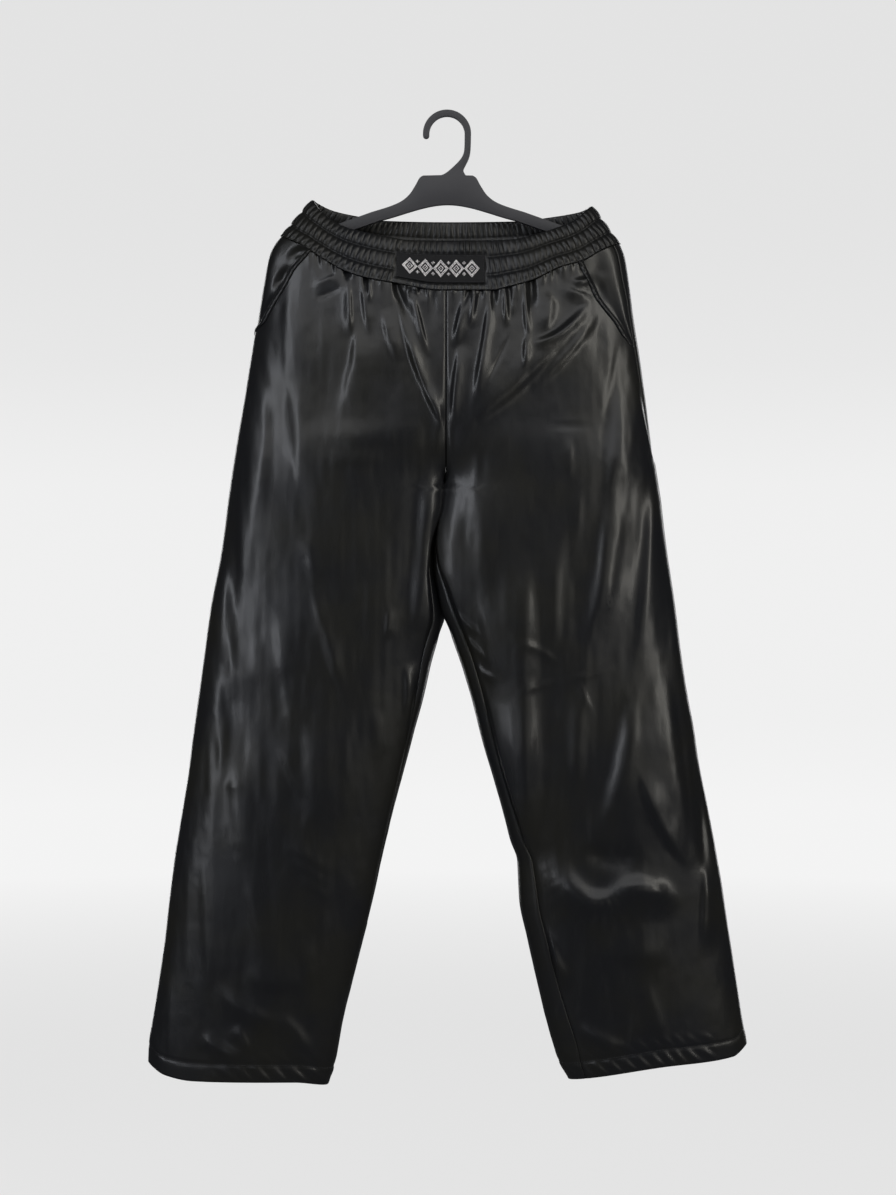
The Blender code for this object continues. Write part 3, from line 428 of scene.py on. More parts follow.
backTucks = (
    (-130, -160, -126, -200, -118, -250, 4, 7, -5, 0, 1.6),
    (-104, -166, -100, -195, -96, -232, 3, 5, -4, 0, 1.6),
    (-70, -170, -66, -205, -62, -262, 4, 7, -6, 0, 1.6),
    (-48, -172, -46, -195, -42, -225, 3, 5, -3, 0, 1.6),
    (-25, -174, -24, -200, -20, -240, 3, 5, -4, 0, 1.6),
    (38, -173, 36, -206, 30, -258, 3, 6, -6, 0, 1.6),
    (64, -172, 62, -195, 58, -228, 3, 5, -3, 0, 1.6),
    (92, -170, 92, -206, 84, -250, 4, 7, -5, 0, 1.6),
    (120, -165, 118, -186, 112, -214, 3, 5, -3, 0, 1.6),
    (148, -160, 142, -200, 138, -240, 4, 7, -4, 0, 1.6),
)
backFolds = (
    (-172, -236, -84, -330, -16, -378, 8, 10, 4.4, 30),
    (170, -250, 84, -336, 14, -384, 8, 10, 4.4, -30),
    (-120, -230, -84, -290, -30, -318, 7, 8, 2.6, 18),
    (118, -236, 84, -292, 30, -322, 7, 8, 2.6, -18),
    (-205, -300, -196, -430, -182, -560, 8, 10, 3.4, -26),
    (204, -290, 198, -420, 186, -560, 8, 10, 3.4, 26),
    (-196, -520, -186, -640, -160, -760, 9, 11, 3.6, 24),
    (-118, -520, -128, -640, -158, -760, 10, 12, 3.2, -26),
    (-234, -740, -220, -850, -232, -980, 8, 10, 3.4, 24),
    (-176, -780, -182, -870, -200, -960, 9, 10, 2.8, -22),
    (192, -500, 184, -620, 170, -730, 9, 11, 3.6, -24),
    (100, -540, 118, -660, 156, -770, 10, 12, 3.2, 26),
    (146, -882, 206, -838, 272, -888, 9, 10, 4.2, -20),
    (150, -912, 190, -930, 232, -914, 8, 9, 2.6, 18),
    (230, -640, 240, -760, 262, -850, 7, 9, 3.0, -20),
    (-60, -440, -66, -540, -64, -640, 8, 9, 2.6, 20),
    (58, -440, 70, -550, 86, -660, 8, 9, 2.6, -20),
    (-250, -480, -262, -600, -270, -720, 7, 8, 2.6, 18),
    (248, -480, 258, -600, 276, -740, 7, 8, 2.6, -18),
    (-248, -1000, -210, -1034, -166, -1042, 8, 9, 2.2, -16),
    (196, -1000, 236, -1028, 280, -1030, 8, 9, 2.2, -16),
    (-100, -300, -54, -332, -12, -338, 5, 6, 1.4, 12),
    (96, -306, 52, -336, 12, -342, 5, 6, 1.4, -12),
)


def strokeHeight(strokes, x, z, tuck):
    # sum of bent strokes at points of the cloth; a tuck starts at full height
    total = np.zeros_like(x)
    steps = np.linspace(0.0, 1.0, 15)

    def bent(start, bend, end):
        return (1 - steps) ** 2 * start + 2 * steps * (1 - steps) * bend + steps ** 2 * end

    for x0, z0, x1, z1, x2, z2, wide0, wide1, height, tail, *crisp in strokes:
        lineX, lineZ = bent(x0, x1, x2), bent(z0, z1, z2)
        reach = 3.0 * max(wide0, wide1) + 2.2 * abs(tail)
        near = ((x > lineX.min() - reach) & (x < lineX.max() + reach)
                & (z > lineZ.min() - reach) & (z < lineZ.max() + reach))
        if not near.any():
            continue
        px, pz = x[near], z[near]
        best = np.full(px.shape, 1e9)
        way = np.zeros(px.shape)
        across = np.zeros(px.shape)
        for k in range(len(steps) - 1):
            dx, dz = lineX[k + 1] - lineX[k], lineZ[k + 1] - lineZ[k]
            run = dx * dx + dz * dz
            t = np.clip(((px - lineX[k]) * dx + (pz - lineZ[k]) * dz) / run, 0.0, 1.0)
            gapX, gapZ = px - lineX[k] - t * dx, pz - lineZ[k] - t * dz
            gap = np.hypot(gapX, gapZ)
            closer = gap < best
            best = np.where(closer, gap, best)
            way = np.where(closer, steps[k] + t * steps[1], way)
            across = np.where(closer, (gapZ * dx - gapX * dz) / run ** 0.5, across)
        wide = wide0 + (wide1 - wide0) * way
        if tuck:
            fade = 1.0 - ease(1.25 * way - 0.25)
        else:
            fade = ease(way / 0.4) * ease((1.0 - way) / 0.4)
        if tail:
            across = across * np.sign(tail)
            fall = np.exp(-(np.maximum(across, 0.0) / abs(tail)) ** 2)
            form = 0.5 * (1.0 + np.tanh(1.6 * across / wide)) * fall
        else:
            form = np.exp(-((best ** 2 + 0.4) ** 0.5 / wide) ** crisp[0])
        total[near] += height * fade * form
    return total


# puckers under the waistband: spacing along X, height, how far down they reach
pucker = {"spacing": 9.0, "height": 0.8, "reach": 6.0}
# small waves of the cloth: height, how far they are drawn out downwards, size, seed
waves = {"broad": (0.8, 0.45, 46.0, 105), "streak": (0.50, 0.22, 13.0, 109),
         "thin": (0.26, 0.18, 6.5, 117), "dent": (0.10, 0.8, 8.0, 121)}
hemRipple = {
    "spacing": {right: 21.0, left: 15.5},
    "end": {right: -272.0, left: 312.0},  # where it dies out
    "endEase": 12.0, "seamEase": 8.0,
    "slant": 0.85, "rise": 0.68, "fall": 0.32, "height": 1.7, "above": 0.7,
}


def panelLift(side, face, x, z, seamDrop, clear, hemPart):
    # how far the cloth stands out from the plain hanging form
    if face == "front":
        folds, tucks = frontFolds, frontTucks
    else:
        folds, tucks = backFolds, backTucks
    lift = strokeHeight(folds, x, z, False) + strokeHeight(tucks, x, z, True)
    seed = side + (40 if face == "back" else 0)

    def wave(name):
        height, squeeze, size, ownSeed = waves[name]
        return height * softNoise(x, squeeze * z, size, ownSeed + seed)

    lift += wave("broad")
    patchy = 0.65 + 0.35 * softNoise(x, 0.4 * z, 70.0, 3 + seed)
    lift += patchy * (wave("streak") + wave("thin"))
    lift += wave("dent")
    phase = x / pucker["spacing"] + 0.6 * softNoise(x, 0.0, 21.0, 13)
    reach = pucker["reach"] + 3.0 * softNoise(x, 0.0, 13.0, 15)
    lift += pucker["height"] * np.cos(2.0 * math.pi * phase) * np.exp(-seamDrop / reach)
    lift *= ease(clear / cloth["edgeEase"]) * 0.92 + 0.08
    lift *= 1.0 - 0.7 * ease(hemPart * 3.0)
    shift = hemRipple["slant"] * (cloth["hemHeight"] * hemPart)
    turnAt = (x - shift) / hemRipple["spacing"][side] + 0.30 * softNoise(x, 0.0, 38.0, 23)
    turnAt = turnAt - np.floor(turnAt)
    rise = hemRipple["rise"]
    fall = 1.0 - ease((turnAt - rise) / hemRipple["fall"])
    saw = np.where(turnAt < rise, ease(turnAt / rise), fall)
    strength = ease(side * (hemRipple["end"][side] - x) / hemRipple["endEase"])
    strength = strength * (0.75 + 0.25 * softNoise(x, 0.0, 24.0, 27))
    offSeam = ease(clear / hemRipple["seamEase"])
    swell = np.sin(math.pi * np.clip(hemPart, 0.0, 1.0)) ** 0.7
    lift += hemRipple["height"] * saw * strength * swell * offSeam
    above = np.exp(-((hemPart + 0.45) / 0.30) ** 2)
    lift += hemRipple["above"] * saw * strength * above * offSeam
    return lift


# meshes


def meshObject(name, points, faces, materials, faceSlots=None):
    mesh = bpy.data.meshes.new(name)
    points = np.asarray(points, dtype=float) * mm
    faces = np.asarray(faces, dtype=np.int32)
    corners = faces.shape[1]
    mesh.vertices.add(len(points))
    mesh.vertices.foreach_set("co", points.ravel())
    mesh.loops.add(faces.size)
    mesh.loops.foreach_set("vertex_index", faces.ravel())
    mesh.polygons.add(len(faces))
    mesh.polygons.foreach_set("loop_start", np.arange(0, faces.size, corners, dtype=np.int32))
    for material in materials:
        mesh.materials.append(material)
    if faceSlots is not None:
        mesh.polygons.foreach_set("material_index", np.asarray(faceSlots, dtype=np.int32))
    mesh.update(calc_edges=True)
    mesh.validate()
    build = bmesh.new()
    build.from_mesh(mesh)
    bmesh.ops.recalc_face_normals(build, faces=build.faces)
    build.to_mesh(mesh)
    build.free()
    mesh.shade_smooth()
    item = bpy.data.objects.new(name, mesh)
    shelf.objects.link(item)
    return item


def grid(rows, columns, closed):
    # numbers of the points of a grid, and its faces
    index = np.arange(rows * columns).reshape(rows, columns)
    if closed:
        index = np.concatenate([index, index[:, :1]], axis=1)
    faces = np.stack([index[:-1, :-1], index[:-1, 1:], index[1:, 1:], index[1:, :-1]], -1)
    return index, faces.reshape(-1, 4)


def shell(name, walls, materials, closed=False):
    # thin closed walls, each between two grids of points; inner sides take the second material
    points, faces, slots, start = [], [], [], 0
    for outer, inner in walls:
        shift = outer.shape[0] * outer.shape[1]
        index, quads = (part + start for part in grid(*outer.shape[:2], closed))
        if closed:
            loops = (index[0], index[-1, ::-1])
        else:
            loops = (np.concatenate([index[0, :-1], index[:-1, -1], index[-1, :0:-1],
                                     index[:, 0][::-1]]),)
        rims = [np.stack([a[:-1], a[1:], a[1:] + shift, a[:-1] + shift], -1) for a in loops]
        points += [outer.reshape(-1, 3), inner.reshape(-1, 3)]
        faces += [quads, quads[:, ::-1] + shift, *rims]
        slots += [np.zeros(len(quads), int), np.full(len(quads), len(materials) - 1),
                  *[np.zeros(len(rim), int) for rim in rims]]
        start += 2 * shift
    points, faces, slots = (np.concatenate(parts) for parts in (points, faces, slots))
    return meshObject(name, points, faces, materials, slots)


# node trees

def operator(operation, flip=False):
    def apply(self, other):
        values = (other, self) if flip else (self, other)
        sockets = dict(enumerate(values))
        return self.graph.node("ShaderNodeMath", sockets, operation=operation)[0]

    return apply


class Value:
    # a socket that takes part in sums: each sum adds a Math node
    __add__, __radd__ = operator("ADD"), operator("ADD", flip=True)
    __sub__, __rsub__ = operator("SUBTRACT"), operator("SUBTRACT", flip=True)
    __mul__, __rmul__ = operator("MULTIPLY"), operator("MULTIPLY", flip=True)
    __truediv__, __rtruediv__ = operator("DIVIDE"), operator("DIVIDE", flip=True)

    def __init__(self, graph, socket):
        self.graph, self.socket = graph, socket


class Made:
    # a node just made; its outputs are read by name or number
    def __init__(self, graph, node):
        self.graph, self.made = graph, node

    def __getitem__(self, key):
        return Value(self.graph, self.made.outputs[key])


class Graph:
    def __init__(self, tree):
        self.tree = tree

    def node(self, kind, sockets=None, **settings):
        made = self.tree.nodes.new(kind)
        for name, value in settings.items():
            if name == "stops":
                ramp = made.color_ramp.elements
                while len(ramp) < len(value):
                    ramp.new(0.5)
                for stop, (place, shade) in zip(ramp, value):
                    stop.position = place
                    stop.color = (shade, shade, shade, 1.0)
            else:
                setattr(made, name, value)
        for key, value in (sockets or {}).items():
            if isinstance(value, Value):
                self.tree.links.new(value.socket, made.inputs[key])
            elif isinstance(value, tuple) and len(value) == 3 and made.inputs[key].type == "RGBA":
                made.inputs[key].default_value = (*value, 1.0)
            else:
                made.inputs[key].default_value = value
        return Made(self, made)

    def blend(self, factor, first, second):
        sockets = {0: factor, 6: first, 7: second}
        return self.node("ShaderNodeMix", sockets, data_type="RGBA")[2]

    def noise(self, place, scale, detail, rough):
        return self.node("ShaderNodeTexNoise", {
            "Vector": place, "Scale": scale, "Detail": detail, "Roughness": rough})["Fac"]

    def stretched(self, place, scale):
        return self.node("ShaderNodeMapping", {"Vector": place, "Scale": scale})["Vector"]

    def wave(self, direction, place, scale, distortion, more=None):
        sockets = {"Vector": place, "Scale": scale, "Distortion": distortion, **(more or {})}
        return self.node("ShaderNodeTexWave", sockets, bands_direction=direction)["Fac"]

    def remap(self, value, low, high, toLow, toHigh):
        sockets = {"Value": value, "From Min": low, "From Max": high,
                   "To Min": toLow, "To Max": toHigh}
        return self.node("ShaderNodeMapRange", sockets, interpolation_type="SMOOTHSTEP")["Result"]

    def bump(self, height, strength, distance, normal=None):
        sockets = {"Height": height, "Strength": strength, "Distance": distance}
        if normal is not None:
            sockets["Normal"] = normal
        return self.node("ShaderNodeBump", sockets)["Normal"]


def newMaterial(name):
    material = bpy.data.materials.new(name)
    material.use_nodes = True
    tree = material.node_tree
    tree.nodes.clear()
    graph = Graph(tree)
    place = graph.node("ShaderNodeTexCoord")["Object"]
    return material, graph, place


def surface(graph, shade, rough, specular, normal, more=None):
    shader = graph.node("ShaderNodeBsdfPrincipled", {
        "Base Color": shade, "Roughness": rough, "Specular IOR Level": specular,
        "Normal": normal, **(more or {})})
    graph.node("ShaderNodeOutputMaterial", {"Surface": shader["BSDF"]})


def leatherMaterial(name, look):
    # coated cloth: a satin film with fine grain, soft handling marks and faint rubbed clouds
    material, graph, place = newMaterial(name)
    cloud = graph.noise(place, 11.0, 3.0, 0.55)
    rub = graph.noise(graph.stretched(place, (70.0, 70.0, 16.0)), 1.0, 4.0, 0.6)
    grain = graph.noise(place, 1500.0, 3.0, 0.6)
    pebble = graph.node("ShaderNodeTexVoronoi", {
        "Vector": place, "Scale": 820.0, "Smoothness": 0.6}, feature="SMOOTH_F1")["Distance"]
    dimple = graph.noise(graph.stretched(place, (150.0, 150.0, 95.0)), 1.0, 2.0, 0.5)
    warmth = graph.remap(cloud, 0.35, 0.65, 0.0, 1.0)
    shade = graph.blend(warmth, look["coolShade"], look["warmShade"])
    shade = graph.blend(graph.remap(rub, 0.55, 0.8, 0.0, 0.35), shade, look["wornShade"])
    rough = look["roughness"] + 0.07 * cloud + 0.09 * (rub - 0.5) + 0.05 * (grain - 0.5)
    soft = graph.bump(dimple, look["dimple"], 0.0010)
    normal = graph.bump(grain * 0.5 + pebble * 0.5, look["grain"], 0.00025, soft)
    surface(graph, shade, rough, look["specular"], normal, {
        "Coat Weight": look["coat"], "Coat Roughness": look["coatRoughness"], "Coat IOR": 1.45})
    return material


leatherLook = {
    "coolShade": (0.0045, 0.0047, 0.0056), "warmShade": (0.0060, 0.0058, 0.0048),
    "wornShade": (0.011, 0.011, 0.011), "roughness": 0.27, "specular": 0.42,
    "coat": 0.2, "coatRoughness": 0.22, "dimple": 0.10, "grain": 0.16,
}
leather = leatherMaterial("coatedLeather", leatherLook)
gatheredLeather = leatherMaterial("gatheredLeather", {
    **leatherLook, "roughness": 0.36, "specular": 0.38, "dimple": 0.16})
weltLeather = leatherMaterial("weltLeather", {**leatherLook, "roughness": 0.27, "grain": 0.2})


def knitMaterial():
    # brushed knit on the inner side of the cloth
    material, graph, place = newMaterial("knitBacking")
    wales = graph.wave("X", place, 260.0, 2.0, {"Detail": 2.0, "Detail Scale": 3.0})
    fluff = graph.noise(place, 900.0, 4.0, 0.7)
    shade = graph.blend(wales * 0.5 + fluff * 0.5, (0.010, 0.010, 0.011), (0.030, 0.030, 0.031))
    normal = graph.bump(wales * 0.6 + fluff * 0.4, 0.5, 0.0005)
    surface(graph, shade, 0.86 + 0.1 * (fluff - 0.5), 0.2, normal, {
        "Sheen Weight": 0.25, "Sheen Roughness": 0.6})
    return material


def labelMaterial():
    # close twill of the patch
    material, graph, place = newMaterial("labelTwill")
    twill = graph.wave("DIAGONAL", place, 420.0, 0.6, {"Detail": 2.0})
    lint = graph.noise(place, 1300.0, 4.0, 0.7)
    shade = graph.blend(twill, (0.0035, 0.0035, 0.004), (0.0095, 0.0095, 0.0105))
    normal = graph.bump(twill * 0.7 + lint * 0.3, 0.35, 0.0004)
    surface(graph, shade, 0.74 + 0.2 * (lint - 0.5), 0.28, normal)
    return material


def threadMaterial():
    material, graph, place = newMaterial("blackThread")
    twist = graph.wave("DIAGONAL", place, 900.0, 1.0)
    shade = graph.blend(twist, (0.006, 0.006, 0.007), (0.022, 0.022, 0.024))
    surface(graph, shade, 0.42 + 0.12 * twist, 0.5, graph.bump(twist, 0.3, 0.0002))
    return material


def beadMaterial(name, first, second, rough, metal):
    # each bead differs a little from the next
    material, graph, place = newMaterial(name)
    mottle = graph.noise(place, 340.0, 1.0, 0.4)
    speck = graph.noise(place, 1900.0, 2.0, 0.5)
    shade = graph.blend(graph.remap(mottle, 0.35, 0.65, 0.0, 1.0), first, second)
    normal = graph.bump(speck, 0.08, 0.0002)
    surface(graph, shade, rough + 0.12 * (speck - 0.5), 0.6, normal, {"Metallic": metal})
    return material


def plasticMaterial():
    # moulded plastic: fine spark texture, slightly polished where it is handled
    material, graph, place = newMaterial("mouldedPlastic")
    spark = graph.noise(place, 1900.0, 3.0, 0.6)
    streaks = graph.noise(graph.stretched(place, (10.0, 40.0, 26.0)), 1.0, 3.0, 0.5)
    shade = graph.blend(streaks, (0.021, 0.021, 0.0245), (0.031, 0.031, 0.035))
    rough = 0.40 + 0.14 * (streaks - 0.5) + 0.06 * (spark - 0.5)
    surface(graph, shade, rough, 0.5, graph.bump(spark, 0.12, 0.0002))
    return material


knit = knitMaterial()
labelTwill = labelMaterial()
thread = threadMaterial()
pearl = beadMaterial("pearlBead", (0.82, 0.80, 0.79), (0.55, 0.53, 0.54), 0.22, 0.0)
smoke = beadMaterial("smokeBead", (0.10, 0.10, 0.11), (0.05, 0.05, 0.06), 0.25, 0.6)
plastic = plasticMaterial()
print("materials ready")

# leg panels

panelDetail = {
    "front": {"columns": 160, "topRows": 58, "fineness": 1.0, "joinRows": 16, "hemRows": 9},
    "back": {"columns": 104, "topRows": 40, "fineness": 0.66, "joinRows": 12, "hemRows": 7},
}
# height, and how far apart the rows above it are
levelSteps = ((cloth["hipLevel"], 0.0), (-560.0, 4.2), (-690.0, 3.1), (-830.0, 4.3),
              (-930.0, 3.2), (cloth["lastLevel"], 4.0))


def panelEdges(form, face, z):
    gap = 0.5 * cloth["seamGap"]
    if face == "front":
        return form.read("mouth", z) + gap, form.read("frontInner", z) - gap
    outer = form.read("sideSeam", z) + form.read("wholeTurn", z)
    return outer - gap, form.read("backInner", z) + gap


def clothSurface(side, face, s, z, grow=0.0):
    # points of the cloth's outer side, its outward direction and its thickness
    form = forms[side]
    base = form.points(s, z)
    normal = form.normals(s, z)
    outer, inner = panelEdges(form, face, z)
    clear = np.minimum(np.abs(s - outer), np.abs(inner - s))
    seamDrop = acrossEdge(bandSeam, base[..., 0], base[..., 1]) - z
    hemTop = flow(hemEdge[side], 1, base[..., 0]) + cloth["hemHeight"]
    hemPart = (hemTop - z) / cloth["hemHeight"]
    lift = panelLift(side, face, base[..., 0], z, seamDrop, clear, hemPart)
    facing = normal[..., 1] ** 2
    offFork = ease((np.abs(z - cloth["forkLevel"]) - cloth["forkClear"]) / 30.0)
    lift -= cloth["seamSink"] * np.exp(-(clear / cloth["seamWidth"]) ** 2) * facing * offFork
    lift -= cloth["hemGroove"] * np.exp(-((hemTop - z) / 1.3) ** 2)
    wall = cloth["wall"] + (cloth["hemWall"] - cloth["wall"]) * ease((hemTop - z) / 1.5)
    return base + normal * (lift + grow)[..., None], normal, wall


# edge of the panel, highest and lowest point of the allowance that backs its seam
seamAllowances = {
    (right, "front"): (("inner", -440.0, -1200.0),),
    (left, "front"): (("inner", 0.0, -1200.0),),
    (right, "back"): (("outer", 0.0, -1200.0),),
    (left, "back"): (("inner", 0.0, -431.0), ("outer", 0.0, -1200.0)),
}
# distance past the edge, depth below the wall
allowanceShape = ((-5.0, 0.25), (-1.2, 0.45), (0.15, 0.7), (1.7, 0.9))
# height above the seam, least depth
tuckedShape = ((6.4, 5.3), (3.4, 4.7), (0.9, 3.4), (-1.2, 0.0), (-5.0, 0.0))


def sunkWall(outside, normal, depth):
    # a hidden layer half a millimetre thick, this deep under the outer side
    return outside - normal * depth[..., None], outside - normal * (depth + 0.5)[..., None]


def allowance(side, face, at, z, edge, top, bottom):
    # the turned-in edge that lies behind a seam and keeps it shut
    column = -1 if edge == "inner" else 0
    way = np.sign(at[0, -1] - at[0, 0]) * (1 if edge == "inner" else -1)
    rows = (z[:, column] < top) & (z[:, column] > bottom)
    past, below = np.array(allowanceShape).T
    s = at[rows, column][:, None] + way * past
    level = np.repeat(z[rows, column][:, None], len(past), axis=1)
    outside, normal, wall = clothSurface(side, face, s, level)
    return sunkWall(outside, normal, wall + below)


def tuckedTop(side, face, at, z):
    # the gathered upper edge that stands inside the waistband and closes its seam
    form = forms[side]
    rise, least = np.array(tuckedShape).T[..., None]
    s = np.repeat(at[:1], len(rise), axis=0)
    level = z[:1] + rise
    belowSeam = np.minimum(level, z[:1])
    outside, normal, wall = clothSurface(side, face, s, belowSeam)
    sunk = ((form.points(s, belowSeam) - outside) * normal).sum(-1) + wall + 0.35
    return sunkWall(form.points(s, level), form.normals(s, level), np.maximum(sunk, least))


def makePanel(side, face):
    form = forms[side]
    detail = panelDetail[face]
    parts = np.linspace(0.0, 1.0, detail["columns"] + 1)
    parts = parts - 0.4 * np.sin(2.0 * math.pi * parts) / (2.0 * math.pi)
    topPart = np.linspace(0.0, 1.0, detail["topRows"], endpoint=False)[:, None] ** 1.25
    heights, steps = np.array(levelSteps).T
    fine = np.cumsum([0.0, *(1.0 / steps[1:] * -np.diff(heights))])
    count = int(fine[-1] * detail["fineness"])
    levels = np.interp(np.linspace(0.0, fine[-1], count), fine, heights)[:, None]
    joinPart = np.linspace(0.0, 1.0, detail["joinRows"] + 1)[1:, None]
    hemPart = np.linspace(0.0, 1.0, detail["hemRows"] + 1)[1:, None]
    a, b, c, rows = np.cumsum([len(part) for part in (topPart, levels, joinPart, hemPart)])
    x = np.full((rows, len(parts)), side * 120.0)
    y = np.full_like(x, -1.0 if face == "front" else 1.0)
    for _ in range(settleRounds):
        top = acrossEdge(bandSeam, x, y) - 0.5 * cloth["bandGap"]
        hem = flow(hemEdge[side], 1, x)
        hemTop = hem + cloth["hemHeight"]
        z = np.empty_like(x)
        z[:a] = top[:a] + topPart * (cloth["hipLevel"] - top[:a])
        z[a:b] = levels
        z[b:c] = cloth["lastLevel"] + joinPart * (hemTop[b:c] - cloth["lastLevel"])
        z[c:] = hem[c:] + cloth["hemHeight"] * (1.0 - hemPart)
        outer, inner = panelEdges(form, face, z)
        at = outer + parts * (inner - outer)
        spot = form.points(at, z)
        x, y = spot[..., 0], spot[..., 1]
    outside, normal, wall = clothSurface(side, face, at, z)
    walls = [(outside, outside - normal * wall[..., None])]
    walls += [allowance(side, face, at, z, *edge) for edge in seamAllowances[side, face]]
    walls.append(tuckedTop(side, face, at, z))
    return shell(face + "Panel" + sideName[side].title(), walls, [leather, knit])


pieces = {}
for side in (right, left):
    for face in ("front", "back"):
        pieces[face + "_panel_" + sideName[side]] = makePanel(side, face)
print("leg panels ready")

# waistband

band = {
    "ridges": 58, "across": 12, "rows": 35, "wall": 2.4, "puff": 1.35, "gather": 1.7,
    "stitchSink": 0.75, "stitchLines": (0.30, 0.67), "centre": 5.8, "half": 161.0,
    "front": 31.0, "back": 27.0, "round": 0.85, "jitter": 0.30, "height": 57.0,
    "edgeFrom": 0.965, "edgeFall": 0.035, "edgeDrop": 1.1, "innerDrop": 0.4,
}
# sides by X, edges by their part of the band's height
label = {
    "left": -57.0, "right": 43.0, "low": 0.14, "high": 0.71, "lift": 1.45, "wall": 1.2,
    "hold": 6.0, "holdPart": 0.06, "stitchInset": 1.3, "stitchLift": 0.05, "beadLift": 0.35,
}


def alongCurve(points, values, parts):
    way = np.concatenate([[0.0], np.cumsum(np.linalg.norm(np.diff(points, axis=0), axis=1))])
    return np.stack([np.interp(parts * way[-1], way, column) for column in values.T], axis=-1)


def halfBand(face, parts):
    # lower edge, upper edge and outward direction along the front or back half
    start = 0.0 if face == "front" else math.pi
    around = np.linspace(start, start + math.pi, 1441)
    form = forms[left]
    z = np.full(len(around), -170.0)
    for _ in range(settleRounds):
        at = form.angleDistance(around, z)
        low = form.points(at, z)
        z = acrossEdge(bandSeam, low[:, 0], -np.sin(around)) + 0.5 * cloth["bandGap"]
    low[:, 2] = z
    sine = np.sin(around)
    bulge = np.abs(sine) ** band["round"]
    x = band["centre"] + band["half"] * np.cos(around)
    y = np.where(sine > 0, -band["front"] * bulge, band["back"] * bulge)
    high = np.stack([x, y, acrossEdge(bandTop, x, -sine)], axis=-1)
    return (alongCurve(low, low, parts), alongCurve(high, high, parts),
            alongCurve(low, form.normals(at, z), parts))


def channelPart(part):
    # 0 at a stitch line or an edge, 1 in the middle of a channel
    lines = (0.0, *band["stitchLines"], 1.0)
    full = np.zeros_like(part)
    for k, (a, b) in enumerate(zip(lines, lines[1:])):
        t = np.clip((part - a) / (b - a), 0.0, 1.0)
        inside = (part >= a) & (part <= b)
        hump = np.sin(math.pi * t) ** 0.62
        if k == 0:
            hump = np.maximum(hump, 0.75 * (1 - ease(t / 0.5)))  # it stays open at the seam
        if k == 2:
            hump = np.maximum(hump, 0.55 * ease((t - 0.6) / 0.4))
        full = np.where(inside, hump, full)
    return full


def makeWaistband():
    columns = band["ridges"] * band["across"]
    even = np.linspace(0.0, 1.0, columns, endpoint=False)
    halves = (halfBand(face, even) for face in ("front", "back"))
    low, high, normal = (np.concatenate(pair) for pair in zip(*halves))
    count = np.arange(2 * columns)
    part = np.linspace(0.0, 1.0, band["rows"])
    part = part - 0.35 * np.sin(6.0 * math.pi * part) / (6.0 * math.pi)
    u, v = np.meshgrid(count / band["across"], part)
    total = 2.0 * band["ridges"]
    wander = 0.55 * softNoise(u, v * 7.0, 3.3, 31) + 0.30 * softNoise(u, v * 9.0, 1.4, 33)
    seamFade = ease(u / 2.0) * ease((total - u) / 2.0)
    phase = u + band["jitter"] * 1.4 * wander * seamFade
    crest = 1.0 - (1.0 - np.abs(np.cos(math.pi * phase))) ** 1.15
    tall = 0.78 + 0.34 * softNoise(u, v * 3.0, 1.0, 37) + 0.16 * softNoise(u, v * 6.0, 6.0, 39)
    full = channelPart(v)
    x = low[None, :, 0] * (1 - v) + high[None, :, 0] * v
    inFront = (count < columns)[None]
    # the label holds the gathers flat
    hold, holdPart = label["hold"], label["holdPart"]
    held = ease((x - label["left"] + hold) / hold) * ease((label["right"] + hold - x) / hold)
    held *= ease((v - label["low"] + holdPart) / 0.05) * ease((label["high"] + holdPart - v) / 0.05)
    held *= inFront
    sink = sum(np.exp(-((v - line) / 0.022) ** 2) for line in band["stitchLines"])
    lift = band["puff"] * full + band["gather"] * crest * tall * (0.32 + 0.68 * full)
    lift = (lift - band["stitchSink"] * sink) * (1.0 - held) + 0.15 * held
    lift += 0.5 * softNoise(u, v * 4.0, 5.0, 43) * full * (1.0 - held)
    edgeRound = np.clip((v - band["edgeFrom"]) / band["edgeFall"], 0.0, 1.0) ** 2
    lift -= band["edgeDrop"] * edgeRound
    base = low[None] + v[..., None] * (high - low)[None]
    outer = base + normal[None] * lift[..., None]
    inside = 1.15 * crest * tall * (0.25 + 0.75 * full) + 0.5 * full
    inner = base - normal[None] * (band["wall"] + inside - edgeRound)[..., None]
    inner[-1, :, 2] -= band["innerDrop"]
    return shell("waistband", [(outer, inner)], [gatheredLeather], True), normal, outer, part


pieces["waistband"], bandNormal, bandOuter, bandPart = makeWaistband()


def bandFrame(across, part, away):
    # points on the front of the band, by X at the seam and part of its height, moved out
    low, high, normal = halfBand("front", np.linspace(0.0, 1.0, 1441))
    across, part, away = (np.asarray(a, dtype=float) for a in (across, part, away))
    base = low[None] + part[:, None, None] * (high - low)[None]
    rows = []
    for line, x, out in zip(base, across, away):
        run = np.concatenate([line, normal], axis=1)[::-1]
        row = np.stack([np.interp(x, run[:, 0], column) for column in run.T], axis=-1)
        rows.append(row[:, :3] + row[:, 3:] * np.asarray(out)[..., None])
    return np.array(rows)


def labelHeight(x, part):
    # the patch lies over uneven gathers, so it waves a little
    z = part * 50.0
    return label["lift"] + 0.30 * softNoise(x, z, 9.0, 51) + 0.22 * softNoise(x, z, 23.0, 53)


def makeLabel():
    x = np.linspace(label["left"], label["right"], 121)
    part = np.linspace(label["low"], label["high"], 41)
    u, v = np.meshgrid(x, part)
    tuck = 0.35 * (np.exp(-(u - label["left"]) / 1.2) + np.exp(-(label["right"] - u) / 1.2))
    tuck += 0.35 * (np.exp(-(v - label["low"]) / 0.022) + np.exp(-(label["high"] - v) / 0.022))
    height = labelHeight(u, v) - np.minimum(tuck, 0.5) * 0.8
    outer = bandFrame(u, part, height + label["wall"])
    inner = bandFrame(u, part, height)
    return shell("labelPatch", [(outer, inner)], [labelTwill])


